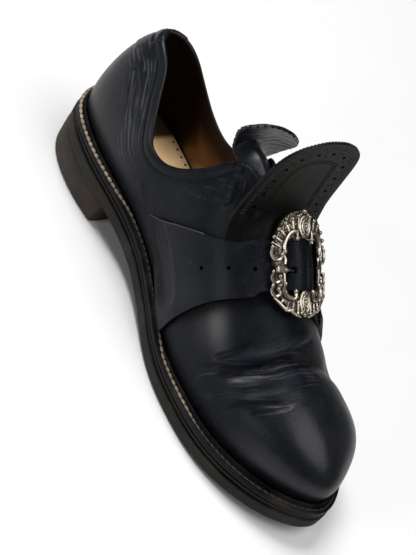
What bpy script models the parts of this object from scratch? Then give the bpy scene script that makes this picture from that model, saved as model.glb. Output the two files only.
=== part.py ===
"""Slip-on dress shoe, left foot: leather upper on a stitched rubber sole, with strap, flap and buckle.

Tables are in millimetres: "along" runs from the heel's back to the toe, "across" from the foot's
inner side (minus) to its outer side (plus), heights from the floor. The toe points to -Y.
"""
import math

import bmesh
import bpy
import numpy as np

MM = 0.001
GAP = 0.3
COLUMNS = 50
WALL = 2.0
WALL_ROWS = 10
SMOOTH_PARTS = 2
MERGE = 0.02
SWELL_SCALE = 10.0
SWELL_LOW = 1.4
SWELL_HIGH = 2.0
SHARE_STEP = 0.02
ALONG_STEP = 2.0


class Table:
    """Rows of sizes with named columns, read as smooth curves over the first column."""

    def __init__(self, columns, rows):
        self.columns = columns.split()
        self.rows = np.array(rows, dtype=float)

    def at(self, column, where):
        """Value of a column, on a curve that doesn't swing past its rows."""
        keys = self.rows[:, 0]
        values = self.rows[:, self.columns.index(column)]
        widths = np.diff(keys)
        steps = np.diff(values) / widths
        tilts = np.zeros(len(keys))
        tilts[0] = steps[0]
        tilts[-1] = steps[-1]
        for row in range(1, len(keys) - 1):
            before, after = steps[row - 1], steps[row]
            if before * after > 0:
                wide = 2 * widths[row] + widths[row - 1]
                near = widths[row] + 2 * widths[row - 1]
                tilts[row] = (wide + near) / (wide / before + near / after)
        where = np.clip(np.asarray(where, dtype=float), keys[0], keys[-1])
        span = np.clip(np.searchsorted(keys, where, side="right") - 1, 0, len(widths) - 1)
        part = (where - keys[span]) / widths[span]
        rest = 1 - part
        ends = values[span] * (1 + 2 * part) * rest**2 + values[span + 1] * (3 - 2 * part) * part**2
        return ends + widths[span] * part * rest * (tilts[span] * rest - tilts[span + 1] * part)

    def slope(self, column, where, step=0.5):
        """Rise of a column per millimetre."""
        return (self.at(column, where + step) - self.at(column, where - step)) / (2 * step)


OUTLINE = Table(
    "along inner outer",
    [
        (10, 24.4, 23.0),
        (34, 35.3, 35.9),
        (70, 36.3, 37.4),
        (110, 31.8, 40.9),
        (150, 38.6, 46.4),
        (190, 49.6, 52.9),
        (215, 51.2, 54.4),
        (245, 48.7, 50.0),
        (272, 39.2, 37.5),
        (292, 25.5, 18.5),
    ],
)
HEEL_TIP = (0.0, 0.0)
TOE_TIP = (-4.5, 304.0)

SOLE_STACK = 16.0
SEAT = Table(
    "along height",
    [
        (0, 37.0),
        (40, 36.0),
        (75, 34.0),
        (110, 27.5),
        (150, 19.6),
        (178, 16.3),
        (190, 16.0),
        (224, 16.0),
        (250, 17.2),
        (280, 20.8),
        (304, 25.4),
    ],
)
FEATHER = Table(
    "along inner outer",
    [
        (0, 5.0, 5.0),
        (40, 6.5, 6.0),
        (80, 5.5, 6.0),
        (120, 4.5, 6.0),
        (160, 4.8, 6.5),
        (200, 6.5, 6.5),
        (240, 7.5, 5.5),
        (280, 8.0, 5.0),
        (304, 7.0, 7.0),
    ],
)
SECTIONS = Table(
    "along fullness inner outer",
    [
        (0, 1.4, 4.2, 4.2),
        (60, 1.5, 4.0, 4.0),
        (90, 1.6, 5.0, 4.0),
        (115, 1.75, 6.5, 4.0),
        (150, 1.75, 6.5, 4.0),
        (185, 1.75, 4.5, 2.8),
        (210, 1.8, 3.6, 0.8),
        (232, 1.9, 3.6, -0.6),
        (252, 2.08, 3.9, 1.4),
        (275, 2.3, 4.6, 6.2),
        (296, 2.4, 5.0, 5.0),
    ],
)
RIDGE = Table(
    "along across height",
    [
        (25, 0.0, 110.0),
        (55, 0.0, 107.0),
        (78, 0.0, 113.0),
        (100, 0.0, 120.5),
        (126, 0.0, 120.5),
        (162, 0.0, 102.5),
        (187, -1.0, 88.5),
        (205, -3.0, 78.0),
        (222, -4.5, 69.0),
        (236, -5.0, 64.0),
        (250, -5.0, 61.5),
    ],
)
CREST = Table(
    "along ridge spread",
    [
        (4, 25, 0.35),
        (15, 31, 0.35),
        (30, 42, 0.30),
        (45, 53, 0.20),
        (60, 65, 0.12),
        (80, 82, 0.05),
        (100, 101, 0.0),
        (130, 130, 0.0),
        (165, 165, 0.0),
        (205, 205, 0.0),
        (235, 230, 0.0),
        (255, 239, 0.0),
        (275, 245, 0.0),
        (300, 250, 0.0),
    ],
)
DENSITY = Table(
    "along columns",
    [
        (0, 1.3),
        (12, 1.2),
        (30, 0.9),
        (90, 0.9),
        (105, 1.8),
        (165, 1.8),
        (180, 0.9),
        (275, 0.9),
        (288, 1.8),
        (297, 3.0),
        (304, 3.0),
    ],
)
TOPLINE = Table(
    "along inner outer",
    [
        (4, 0.900, 0.900),
        (18, 0.895, 0.880),
        (30, 0.860, 0.800),
        (40, 0.790, 0.685),
        (50, 0.690, 0.585),
        (60, 0.583, 0.495),
        (70, 0.477, 0.430),
        (80, 0.390, 0.392),
        (90, 0.375, 0.385),
        (100, 0.415, 0.420),
        (112, 0.510, 0.510),
        (118, 0.590, 0.590),
        (124, 0.750, 0.750),
        (132, 0.830, 0.830),
        (146, 0.910, 0.910),
        (158, 0.975, 0.975),
        (166, 1.000, 1.000),
        (304, 1.000, 1.000),
    ],
)

WELT_THICK = 3.0
WELT_INSET = 0.6
WELT_ROUND = 0.4
RIB_WIDE = 2.4
RIB_HIGH = 2.0
RIB_CREST = (0.75, 0.35)
MIDSOLE_BOTTOM = 7.0
MIDSOLE_INSET = 0.9
OUTSOLE_ROUND = 1.0
HEEL_BREAST = 78.0
HEEL_LEAN = 2.5
HEEL_TOE = 0.2
INSOLE_RISE = 1.6

SHEET = 2.0
TONGUE_INSIDE = (172, 163, 154, 145, 136, 128, 122, 116)
TONGUE_EDGES = (0.75, 0.60)
TONGUE_ACROSS = 4
TONGUE_FREE = Table(
    "row along turn left left_height right right_height arch",
    [
        (0, 114.5, 0.00, -9.5, 114.0, 26.0, 99.5, 10.5),
        (1, 115.0, 0.06, -11.0, 119.5, 31.0, 106.5, 9.5),
        (2, 116.5, 0.13, -13.0, 124.5, 32.5, 113.5, 8.0),
        (3, 118.0, 0.18, -12.5, 128.5, 29.5, 120.0, 6.5),
        (4, 119.0, 0.20, -8.5, 131.5, 22.0, 127.0, 3.5),
    ],
)

FLAP_HELD = ((179, 0.60, 0.62), (171, 0.60, 0.60), (164, 0.60, 0.56))
FLAP_ACROSS = 5
FLAP_LIFT = 0.8
FLAP_FREE = Table(
    "row along turn left left_height right right_height arch",
    [
        (0, 157.5, 0.1, -27.0, 93.0, 33.0, 94.5, 15.0),
        (1, 154.0, 0.1, -26.2, 105.0, 34.0, 109.0, 11.5),
        (2, 152.0, 0.1, -23.0, 122.0, 36.0, 124.0, 7.5),
        (3, 151.7, 0.1, -20.4, 137.0, 36.0, 138.5, 5.0),
        (4, 151.7, 0.1, -15.8, 148.3, 34.0, 149.5, 3.0),
        (5, 152.0, 0.1, -8.0, 156.0, 28.0, 156.2, 1.8),
        (6, 152.3, 0.1, 3.0, 160.6, 19.0, 160.3, 0.7),
    ],
)

STRAP_THICK = 2.2
STRAP_WALL = Table(
    "row back back_share front front_share lift",
    [
        (0, 109, 0.16, 172, 0.03, 0.5),
        (1, 124, 0.265, 175.5, 0.20, 0.6),
        (2, 140, 0.395, 180.5, 0.38, 1.4),
        (3, 155, 0.55, 186, 0.545, 3.9),
        (4, 166, 0.71, 192, 0.72, 4.7),
    ],
)
STRAP_BUCKLE = Table(
    "across half height",
    [
        (-23, 14.6, -3.0),
        (-19, 14.2, -4.1),
        (-15, 14.0, -4.25),
        (-11.5, 13.7, -4.4),
        (-8, 13.6, -2.4),
        (-4.5, 13.5, -0.1),
        (0, 13.5, 0.4),
        (4.5, 13.5, -1.1),
        (8, 13.5, -3.0),
        (11.5, 13.5, -4.4),
        (15, 13.5, -4.3),
        (19, 13.2, -4.3),
        (22.5, 11.5, -4.7),
        (25, 7.0, -5.2),
    ],
)
STRAP_ACROSS = 8
SLOT_FROM = -13.6
SLOT_TO = -5.2
SLOT_HALF = 1.7
PRONG_SIDE = 2.4
SLOT_DEEP = 12.0

BUCKLE_CENTRE = (6.0, 188.5, 96.5)
BUCKLE_PITCH = 33.0
BUCKLE_YAW = 10.0
BUCKLE_ROLL = 2.0
BUCKLE_BOW = 4.45 / 18.5**2
FRAME_OUTER = (18.5, 28.8)
FRAME_INNER = (12.4, 16.4)
FRAME_POINTS = 48
FRAME_HALF = 1.5
FRAME_EDGE = 0.6
FRAME_SIDE = -2.3
OPENING_SIDE = 0.7
FRAME_OUTER_SQUARE = 2.7
FRAME_INNER_SQUARE = 6.0
BAR_RADIUS = 1.3
BAR_HEIGHT = -1.3
BAR_HALF = 19.0
PRONG_RADIUS = 0.9
PRONG_RINGS = 15
PRONG_PATH = Table(
    "across height",
    [
        (-18.4, 2.7),
        (-16.4, 2.8),
        (-13, 2.8),
        (-10.4, 1.6),
        (-7.6, -0.7),
        (-5, -1.3),
        (-2.6, -1.3),
    ],
)

TAB_THICK = 1.8
TAB_BUCKLE = Table(
    "across half height",
    [
        (1.6, 13.5, -3.4),
        (6, 14.5, -4.7),
        (11, 15.5, -6.7),
        (16, 16.5, -8.6),
    ],
)
TAB_WALL = Table(
    "row back front share lift",
    [
        (0, 174, 205, 0.63, 3.8),
        (1, 173, 207, 0.53, 2.0),
        (2, 173, 208, 0.44, 0.9),
        (3, 173, 209, 0.35, 0.7),
        (4, 173, 210, 0.27, 0.7),
    ],
)


def closed_curve(points, per_span=24):
    """Smooth closed curve through points."""
    points = np.array(points, dtype=float)
    count = len(points)
    after = np.roll(points, -1, axis=0)
    gaps = np.linalg.norm(after - points, axis=1)
    system = np.zeros((count, count))
    pull = np.zeros((count, 2))
    for row in range(count):
        before_gap = gaps[row - 1]
        after_gap = gaps[row]
        system[row, row - 1] += before_gap
        system[row, row] += 2 * (before_gap + after_gap)
        system[row, (row + 1) % count] += after_gap
        bend = (after[row] - points[row]) / after_gap - (points[row] - points[row - 1]) / before_gap
        pull[row] = 6 * bend
    bends = np.linalg.solve(system, pull)
    samples = []
    for row in range(count):
        share = np.linspace(0, 1, per_span, endpoint=False)[:, None]
        rest = 1 - share
        bent = (rest**3 - rest) * bends[row] + (share**3 - share) * bends[(row + 1) % count]
        samples.append(rest * points[row] + share * after[row] + gaps[row] ** 2 / 6 * bent)
    return np.concatenate(samples)


def sole_curve():
    """Dense sole outline as (across, along) points with outward directions."""
    inner = [(-row[1], row[0]) for row in OUTLINE.rows]
    outer = [(row[2], row[0]) for row in OUTLINE.rows[::-1]]
    points = closed_curve([HEEL_TIP] + inner + [TOE_TIP] + outer)
    run = np.roll(points, -1, axis=0) - np.roll(points, 1, axis=0)
    run /= np.linalg.norm(run, axis=1)[:, None]
    return points, np.stack([-run[:, 1], run[:, 0]], axis=1)


SOLE_POINTS, SOLE_OUTWARD = sole_curve()
CENTRE = (SOLE_POINTS.max(axis=0) + SOLE_POINTS.min(axis=0)) / 2


def halves(inset=0.0, feather=0.0):
    """Inner and outer half outline from heel to toe, moved in; rows are across, along, outward x, y."""
    along = SOLE_POINTS[:, 1]
    inner_side = SOLE_POINTS[:, 0] < 0
    depth = np.where(inner_side, FEATHER.at("inner", along), FEATHER.at("outer", along))
    moved = SOLE_POINTS - SOLE_OUTWARD * (inset + feather * depth)[:, None]
    rows = np.concatenate([moved, SOLE_OUTWARD], axis=1)
    rows = np.roll(rows, -int(np.argmin(moved[:, 1])), axis=0)
    toe = int(np.argmax(rows[:, 1]))
    inner = rows[: toe + 1]
    outer = np.concatenate([rows[toe:], rows[:1]])[::-1]
    return inner, outer


def spaced(rows, count, until=None):
    """Points along a half outline, closer together where the throat needs them."""
    if until is not None:
        end = np.array([np.interp(until, rows[:, 1], rows[:, part]) for part in range(rows.shape[1])])
        rows = np.concatenate([rows[rows[:, 1] < until], end[None]])
    steps = np.linalg.norm(np.diff(rows[:, :2], axis=0), axis=1)
    steps = steps * DENSITY.at("columns", rows[1:, 1])
    run = np.concatenate([[0], np.cumsum(steps)])
    at = np.linspace(0, run[-1], count + 1)
    return np.stack([np.interp(at, run, rows[:, part]) for part in range(rows.shape[1])], axis=1)


FEATHER_INNER, FEATHER_OUTER = halves(feather=1.0)


def column_at(side, along):
    """Foot of the upper's wall at a distance from the heel, on one side of the foot."""
    rows = FEATHER_INNER if side == "inner" else FEATHER_OUTER
    return np.array([np.interp(along, rows[:, 1], rows[:, part]) for part in range(4)])


def last_point(side, column, share):
    """Point of the last: share 0 at the wall's foot, 1 on the ridge over the instep."""
    across, along, out_across, out_along = column
    base = SEAT.at("height", along) + GAP
    crest = CREST.at("ridge", along)
    spread = CREST.at("spread", along)
    fullness = 2 / SECTIONS.at("fullness", along)
    angle = share * math.pi / 2
    run = 1 - max(math.cos(angle), 0.0) ** fullness
    rise = math.sin(angle) ** fullness
    lean = RIDGE.slope("height", crest) * (crest - along)
    swell = SWELL_SCALE * SECTIONS.at(side, along) * share**SWELL_LOW * (1 - share) ** SWELL_HIGH
    height = base + (RIDGE.at("height", crest) - base - lean) * rise + lean * run
    return np.array(
        [
            across + run * (RIDGE.at("across", crest) + spread * across - across) + out_across * swell,
            along + run * (crest - along) + out_along * swell,
            height,
        ]
    )


def lifted_point(side, along, share, lift):
    """Point off the last by a lift along its surface direction."""
    here = last_point(side, column_at(side, along), share)
    low = last_point(side, column_at(side, along), max(share - SHARE_STEP, 0.0))
    if share + SHARE_STEP <= 1:
        high = last_point(side, column_at(side, along), share + SHARE_STEP)
    else:
        other = "outer" if side == "inner" else "inner"
        high = last_point(other, column_at(other, along), 2 - share - SHARE_STEP)
    ahead = last_point(side, column_at(side, along + ALONG_STEP), share)
    behind = last_point(side, column_at(side, along - ALONG_STEP), share)
    away = np.cross(high - low, ahead - behind)
    away /= np.linalg.norm(away)
    if side == "outer":
        away = -away
    return here + lift * away


def buckle_axes():
    """Directions of the buckle: across the foot, towards the toe, and away from the foot."""
    pitch = math.radians(BUCKLE_PITCH)
    toward_toe = np.array([0.0, math.cos(pitch), -math.sin(pitch)])
    away = np.array([0.0, math.sin(pitch), math.cos(pitch)])
    across = np.array([1.0, 0.0, 0.0])
    roll = math.radians(BUCKLE_ROLL)
    across, away = (
        across * math.cos(roll) - away * math.sin(roll),
        away * math.cos(roll) + across * math.sin(roll),
    )
    yaw = math.radians(BUCKLE_YAW)
    across, toward_toe = (
        across * math.cos(yaw) + toward_toe * math.sin(yaw),
        toward_toe * math.cos(yaw) - across * math.sin(yaw),
    )
    return across, toward_toe, away


BUCKLE_ACROSS, BUCKLE_TOE, BUCKLE_AWAY = buckle_axes()


def buckle_point(across, toward_toe, height):
    """Point in the buckle's own curved frame."""
    bowed = height - BUCKLE_BOW * across**2
    return np.array(BUCKLE_CENTRE) + across * BUCKLE_ACROSS + toward_toe * BUCKLE_TOE + bowed * BUCKLE_AWAY


def clear_scene():
    """Remove every object of the start-up scene."""
    for item in list(bpy.data.objects):
        bpy.data.objects.remove(item)


def collection(name):
    """New collection in the scene."""
    group = bpy.data.collections.new(name)
    bpy.context.scene.collection.children.link(group)
    return group


def material(name, colour, roughness, metallic=0.0):
    """Plain finish of one piece."""
    finish = bpy.data.materials.new(name)
    finish.use_nodes = True
    shader = finish.node_tree.nodes["Principled BSDF"]
    shader.inputs["Base Color"].default_value = (*colour, 1.0)
    shader.inputs["Roughness"].default_value = roughness
    shader.inputs["Metallic"].default_value = metallic
    return finish


def in_scene(point):
    """Scene place of a point given across, along and height."""
    return (
        (point[0] - CENTRE[0]) * MM,
        (CENTRE[1] - point[1]) * MM,
        point[2] * MM,
    )


def mesh_object(name, group, finish, grid, wrap_rows=False, wrap_columns=False, caps=(), sheet=False):
    """Loft of rows of points: neighbours joined by faces, rows or columns closed where asked."""
    mesh = bmesh.new()
    verts = [[mesh.verts.new(in_scene(point)) for point in row] for row in grid]
    rows = len(verts)
    columns = len(verts[0])
    for row in range(rows if wrap_rows else rows - 1):
        for column in range(columns if wrap_columns else columns - 1):
            above = verts[(row + 1) % rows]
            after = (column + 1) % columns
            mesh.faces.new((verts[row][column], verts[row][after], above[after], above[column]))
    for cap in caps:
        for before, after in zip(range(cap["count"]), range(1, cap["count"] + 1)):
            mesh.faces.new(
                (
                    verts[cap["row"]][before],
                    verts[cap["row"]][after],
                    verts[cap["row"]][columns - 1 - after],
                    verts[cap["row"]][columns - 1 - before],
                )
            )
    bmesh.ops.remove_doubles(mesh, verts=mesh.verts, dist=MERGE * MM)
    if not sheet:
        bmesh.ops.recalc_face_normals(mesh, faces=mesh.faces)
    data = bpy.data.meshes.new(name)
    mesh.to_mesh(data)
    mesh.free()
    item = bpy.data.objects.new(name, data)
    item.data.materials.append(finish)
    group.objects.link(item)
    return item


def thicken(item, thickness, side):
    """Give an open sheet its thickness on one side."""
    solid = item.modifiers.new("Thickness", "SOLIDIFY")
    solid.thickness = thickness * MM
    solid.offset = side
    solid.use_quality_normals = True


def sole_ring(level, count, until=None):
    """One closed ring of a sole layer: down the inner side to the toe and back on the outer side."""
    inner, outer = halves(level.get("inset", 0.0), level.get("feather", 0.0))
    inner = spaced(inner, count, until)
    outer = spaced(outer, count, until)
    ring = np.concatenate([inner, outer[::-1]])
    height = SEAT.at("height", ring[:, 1]) + level["above"]
    if "floor" in level:
        height = np.full(len(ring), level["floor"])
    return np.stack([ring[:, 0], ring[:, 1], height], axis=1)


def sole_layer(name, group, finish, levels):
    """Solid layer of the sole between its lowest and highest level."""
    grid = [sole_ring(level, COLUMNS) for level in levels]
    ends = [{"row": 0, "count": COLUMNS}, {"row": len(levels) - 1, "count": COLUMNS}]
    return mesh_object(name, group, finish, grid, wrap_columns=True, caps=ends)


def build_outsole(group):
    """Rubber layer from toe to heel."""
    finish = material("outsole_rubber", (0.035, 0.028, 0.022), 0.75)
    top = -MIDSOLE_BOTTOM - GAP
    levels = [
        {"inset": OUTSOLE_ROUND, "above": -SOLE_STACK},
        {"inset": 0.0, "above": OUTSOLE_ROUND - SOLE_STACK},
        {"inset": 0.0, "above": top - OUTSOLE_ROUND / 2},
        {"inset": OUTSOLE_ROUND / 2, "above": top},
    ]
    return sole_layer("outsole", group, finish, levels)


def build_midsole(group):
    """Black layer between outsole and welt."""
    finish = material("midsole_rubber", (0.012, 0.012, 0.013), 0.6)
    levels = [
        {"inset": MIDSOLE_INSET, "above": -MIDSOLE_BOTTOM},
        {"inset": MIDSOLE_INSET, "above": -WELT_THICK - GAP},
    ]
    return sole_layer("midsole", group, finish, levels)


def build_heel(group):
    """Rubber block under the back of the outsole, up to its breast."""
    finish = material("heel_rubber", (0.04, 0.03, 0.024), 0.8)
    top = -SOLE_STACK - GAP
    levels = [
        {"inset": OUTSOLE_ROUND, "above": 0.0, "floor": 0.0, "breast": 0.0},
        {"inset": 0.0, "above": 0.0, "floor": OUTSOLE_ROUND, "breast": HEEL_TOE},
        {"inset": 0.0, "above": top, "breast": HEEL_LEAN},
    ]
    count = COLUMNS // 2
    grid = [sole_ring(level, count, HEEL_BREAST + level["breast"]) for level in levels]
    ends = [{"row": 0, "count": count}, {"row": len(levels) - 1, "count": count}]
    return mesh_object("heel", group, finish, grid, wrap_columns=True, caps=ends)


def build_welt(group):
    """Strip round the upper's foot with a raised rib against the leather."""
    finish = material("welt_leather", (0.014, 0.013, 0.014), 0.5)
    levels = [
        {"inset": WELT_INSET, "above": -WELT_THICK},
        {"inset": WELT_INSET, "above": -WELT_ROUND},
        {"inset": WELT_INSET + WELT_ROUND, "above": 0.0},
        {"inset": -GAP - RIB_WIDE, "feather": 1.0, "above": 0.0},
        {"inset": -GAP - RIB_CREST[0] * RIB_WIDE, "feather": 1.0, "above": RIB_HIGH},
        {"inset": -GAP - RIB_CREST[1] * RIB_WIDE, "feather": 1.0, "above": RIB_HIGH},
        {"inset": -GAP, "feather": 1.0, "above": 0.0},
        {"inset": WALL, "feather": 1.0, "above": 0.0},
        {"inset": WALL, "feather": 1.0, "above": -WELT_THICK},
    ]
    grid = [sole_ring(level, COLUMNS) for level in levels]
    return mesh_object("welt", group, finish, grid, wrap_rows=True, wrap_columns=True)


def build_insole(group):
    """Leather sole inside the shoe, on the midsole."""
    finish = material("insole_leather", (0.55, 0.38, 0.2), 0.6)
    levels = [
        {"inset": WALL + 2 * GAP, "feather": 1.0, "above": -WELT_THICK},
        {"inset": WALL + 2 * GAP, "feather": 1.0, "above": INSOLE_RISE},
    ]
    return sole_layer("insole", group, finish, levels)


def build_upper(group):
    """Vamp and quarters: one hollow wall on the last, open at collar, throat and underneath."""
    finish = material("upper_leather", (0.012, 0.014, 0.022), 0.35)
    inner = spaced(FEATHER_INNER, COLUMNS)
    outer = [column_at("outer", foot[1]) for foot in inner]
    sides = [("inner", inner), ("outer", outer[::-1])]
    columns = []
    for side, feet in sides:
        for foot in feet:
            top = float(TOPLINE.at(side, foot[1]))
            shares = top * np.linspace(0, 1, WALL_ROWS + 1)
            columns.append([last_point(side, foot, share) for share in shares])
    grid = [[column[row] for column in columns] for row in range(WALL_ROWS + 1)]
    item = mesh_object("upper", group, finish, grid, wrap_columns=True, sheet=True)
    thicken(item, WALL, -1)
    return item


def across_shares(edges, count):
    """Sides and shares of a row that crosses the instep from edge to edge."""
    inner = [("inner", share) for share in np.linspace(edges[0], 1, count + 1)]
    outer = [("outer", share) for share in np.linspace(1, edges[1], count + 1)[1:]]
    return inner + outer


def standing_rows(table, count):
    """Arched rows of a leaf that stands up off the instep."""
    spread = np.linspace(0, 1, count)
    grid = []
    for row in table.rows[:, 0]:
        size = {name: float(table.at(name, row)) for name in table.columns[1:]}
        across = size["left"] + spread * (size["right"] - size["left"])
        height = size["left_height"] + spread * (size["right_height"] - size["left_height"])
        height += 4 * size["arch"] * spread * (1 - spread)
        grid.append(np.stack([across, size["along"] + size["turn"] * across, height], axis=1))
    return grid


def build_tongue(group):
    """Inner tongue: under the vamp at its front, free above the throat."""
    finish = material("tongue_leather", (0.013, 0.014, 0.02), 0.45)
    stations = across_shares(TONGUE_EDGES, TONGUE_ACROSS)
    depth = WALL + 2 * GAP
    grid = [[lifted_point(side, along, share, -depth) for side, share in stations] for along in TONGUE_INSIDE]
    grid += standing_rows(TONGUE_FREE, len(stations))
    item = mesh_object("tongue", group, finish, smooth_rows(grid, SMOOTH_PARTS), sheet=True)
    thicken(item, SHEET, -1)
    return item


def build_flap(group):
    """Round flap: held flat under the strap, then standing up off the instep."""
    finish = material("flap_leather", (0.03, 0.03, 0.03), 0.45)
    grid = []
    for along, *edges in FLAP_HELD:
        stations = across_shares(edges, FLAP_ACROSS)
        grid.append([lifted_point(side, along, share, FLAP_LIFT) for side, share in stations])
    grid += standing_rows(FLAP_FREE, 2 * FLAP_ACROSS + 1)
    item = mesh_object("flap", group, finish, smooth_rows(grid, SMOOTH_PARTS), sheet=True)
    thicken(item, SHEET, 1)
    return item


def smooth_rows(grid, parts):
    """Rows set between the given ones on a curve through them."""
    grid = np.array(grid, dtype=float)
    steps = np.linalg.norm(np.diff(grid, axis=0), axis=2).mean(axis=1)
    keys = np.concatenate([[0], np.cumsum(steps)])
    rows = [grid[0]]
    tilts = np.gradient(grid, keys, axis=0)
    for row in range(len(grid) - 1):
        wide = keys[row + 1] - keys[row]
        for part in range(1, parts + 1):
            share = part / parts
            rest = 1 - share
            ends = grid[row] * (1 + 2 * share) * rest**2 + grid[row + 1] * (3 - 2 * share) * share**2
            rows.append(ends + wide * share * rest * (tilts[row] * rest - tilts[row + 1] * share))
    return rows


def buckle_rows(table, count):
    """Rows of a strap in the buckle's own frame."""
    grid = []
    for across in table.rows[:, 0]:
        half = float(table.at("half", across))
        height = float(table.at("height", across))
        grid.append([buckle_point(across, half * share, height) for share in np.linspace(-1, 1, count + 1)])
    return grid


def build_strap(group, cutters):
    """Strap from the inner quarter through the buckle, with the slot for its prong."""
    finish = material("strap_leather", (0.012, 0.014, 0.02), 0.4)
    grid = []
    for row in STRAP_WALL.rows[:, 0]:
        size = {name: float(STRAP_WALL.at(name, row)) for name in STRAP_WALL.columns[1:]}
        points = []
        for share in np.linspace(0, 1, STRAP_ACROSS + 1):
            along = size["back"] + share * (size["front"] - size["back"])
            up = size["back_share"] + share * (size["front_share"] - size["back_share"])
            points.append(lifted_point("inner", along, up, size["lift"]))
        grid.append(points)
    grid += buckle_rows(STRAP_BUCKLE, STRAP_ACROSS)
    item = mesh_object("strap", group, finish, smooth_rows(grid, SMOOTH_PARTS), sheet=True)
    thicken(item, STRAP_THICK, 1)
    rings = []
    for across in (SLOT_FROM, SLOT_TO):
        corners = [(-1, -1), (1, -1), (1, 1), (-1, 1)]
        rings.append([buckle_point(across, PRONG_SIDE + SLOT_HALF * side, SLOT_DEEP * up) for side, up in corners])
    slot = mesh_object("strap_slot", cutters, finish, rings, wrap_columns=True)
    fill_ends(slot)
    cut = item.modifiers.new("Slot", "BOOLEAN")
    cut.operation = "DIFFERENCE"
    cut.solver = "EXACT"
    cut.object = slot
    return item


def fill_ends(item):
    """Close the open ends of a lofted bar."""
    mesh = bmesh.new()
    mesh.from_mesh(item.data)
    bmesh.ops.holes_fill(mesh, edges=mesh.edges, sides=0)
    bmesh.ops.recalc_face_normals(mesh, faces=mesh.faces)
    mesh.to_mesh(item.data)
    mesh.free()


def bar_rings(path, radius, sides=10):
    """Round rings about a path in the buckle's frame, given as across, toward toe and height."""
    path = [buckle_point(*point) for point in path]
    runs = np.gradient(np.array(path), axis=0)
    rings = []
    for point, run in zip(path, runs):
        run = run / np.linalg.norm(run)
        flat = np.cross(run, BUCKLE_AWAY)
        flat /= np.linalg.norm(flat)
        up = np.cross(flat, run)
        turns = np.linspace(0, 2 * math.pi, sides, endpoint=False)
        rings.append([point + radius * (math.cos(turn) * flat + math.sin(turn) * up) for turn in turns])
    return rings


def frame_ring(size, side, square, height):
    """One closed ring of the buckle's frame, with its middle set to one side."""
    ring = []
    for turn in np.linspace(0, 2 * math.pi, FRAME_POINTS, endpoint=False):
        wide = math.copysign(abs(math.cos(turn)) ** (2 / square), math.cos(turn))
        long = math.copysign(abs(math.sin(turn)) ** (2 / square), math.sin(turn))
        ring.append(buckle_point(size[0] * wide, side + size[1] * long, height))
    return ring


def build_buckle(group, cutters):
    """Curved frame in one piece with its centre bar."""
    finish = material("buckle_silver", (0.55, 0.52, 0.48), 0.35, 1.0)
    outer, inner = FRAME_OUTER, FRAME_INNER
    edge = FRAME_EDGE
    trimmed = (outer[0] - edge, outer[1] - edge)
    grid = [
        frame_ring(inner, OPENING_SIDE, FRAME_INNER_SQUARE, -FRAME_HALF),
        frame_ring(trimmed, FRAME_SIDE, FRAME_OUTER_SQUARE, -FRAME_HALF),
        frame_ring(outer, FRAME_SIDE, FRAME_OUTER_SQUARE, edge - FRAME_HALF),
        frame_ring(outer, FRAME_SIDE, FRAME_OUTER_SQUARE, FRAME_HALF - edge),
        frame_ring(trimmed, FRAME_SIDE, FRAME_OUTER_SQUARE, FRAME_HALF),
        frame_ring(inner, OPENING_SIDE, FRAME_INNER_SQUARE, FRAME_HALF),
    ]
    item = mesh_object("buckle_frame", group, finish, grid, wrap_rows=True, wrap_columns=True)
    path = [(0.0, OPENING_SIDE + end * BAR_HALF, BAR_HEIGHT) for end in (-1, -0.5, 0, 0.5, 1)]
    bar = mesh_object("buckle_bar", cutters, finish, bar_rings(path, BAR_RADIUS), wrap_columns=True)
    fill_ends(bar)
    join = item.modifiers.new("Centre bar", "BOOLEAN")
    join.operation = "UNION"
    join.solver = "EXACT"
    join.object = bar
    return item


def build_prong(group):
    """Pin from the centre bar, up through the strap, onto the frame."""
    finish = material("prong_silver", (0.6, 0.58, 0.55), 0.3, 1.0)
    across = np.linspace(PRONG_PATH.rows[0, 0], PRONG_PATH.rows[-1, 0], PRONG_RINGS)
    path = [(place, PRONG_SIDE, float(PRONG_PATH.at("height", place))) for place in across]
    item = mesh_object("buckle_prong", group, finish, bar_rings(path, PRONG_RADIUS), wrap_columns=True)
    fill_ends(item)
    return item


def build_tab(group):
    """Short strap from the outer quarter up to the buckle's centre bar."""
    finish = material("tab_leather", (0.012, 0.014, 0.02), 0.4)
    grid = buckle_rows(TAB_BUCKLE, STRAP_ACROSS)
    for row in TAB_WALL.rows[:, 0]:
        size = {name: float(TAB_WALL.at(name, row)) for name in TAB_WALL.columns[1:]}
        places = np.linspace(size["back"], size["front"], STRAP_ACROSS + 1)
        grid.append([lifted_point("outer", along, size["share"], size["lift"]) for along in places])
    item = mesh_object("buckle_tab", group, finish, smooth_rows(grid, SMOOTH_PARTS), sheet=True)
    thicken(item, TAB_THICK, 1)
    return item


def main():
    """Build every piece of the shoe."""
    clear_scene()
    shoe = collection("slip_on_dress_shoe")
    cutters = collection("cutters")
    build_outsole(shoe)
    build_heel(shoe)
    build_midsole(shoe)
    build_welt(shoe)
    build_insole(shoe)
    build_upper(shoe)
    build_tongue(shoe)
    build_flap(shoe)
    build_strap(shoe, cutters)
    build_buckle(shoe, cutters)
    build_prong(shoe)
    build_tab(shoe)
    for cutter in cutters.objects:
        cutter.hide_render = True
        cutter.display_type = "WIRE"


main()
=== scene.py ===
"""Looks of a slip-on dress shoe with a buckled strap and a punched flap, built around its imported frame.

Sizes are millimetres in the shoe's own terms: across (the inner side is minus), along from the back of
the heel, and height above the floor. Meshes are in metres in the frame's own place.
"""

import logging
import math
from collections.abc import Callable, Iterable, Sequence
from dataclasses import dataclass, field
from enum import Enum

import bmesh
import bpy
import numpy as np
from mathutils import Matrix, Vector, noise
from mathutils.bvhtree import BVHTree

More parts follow.
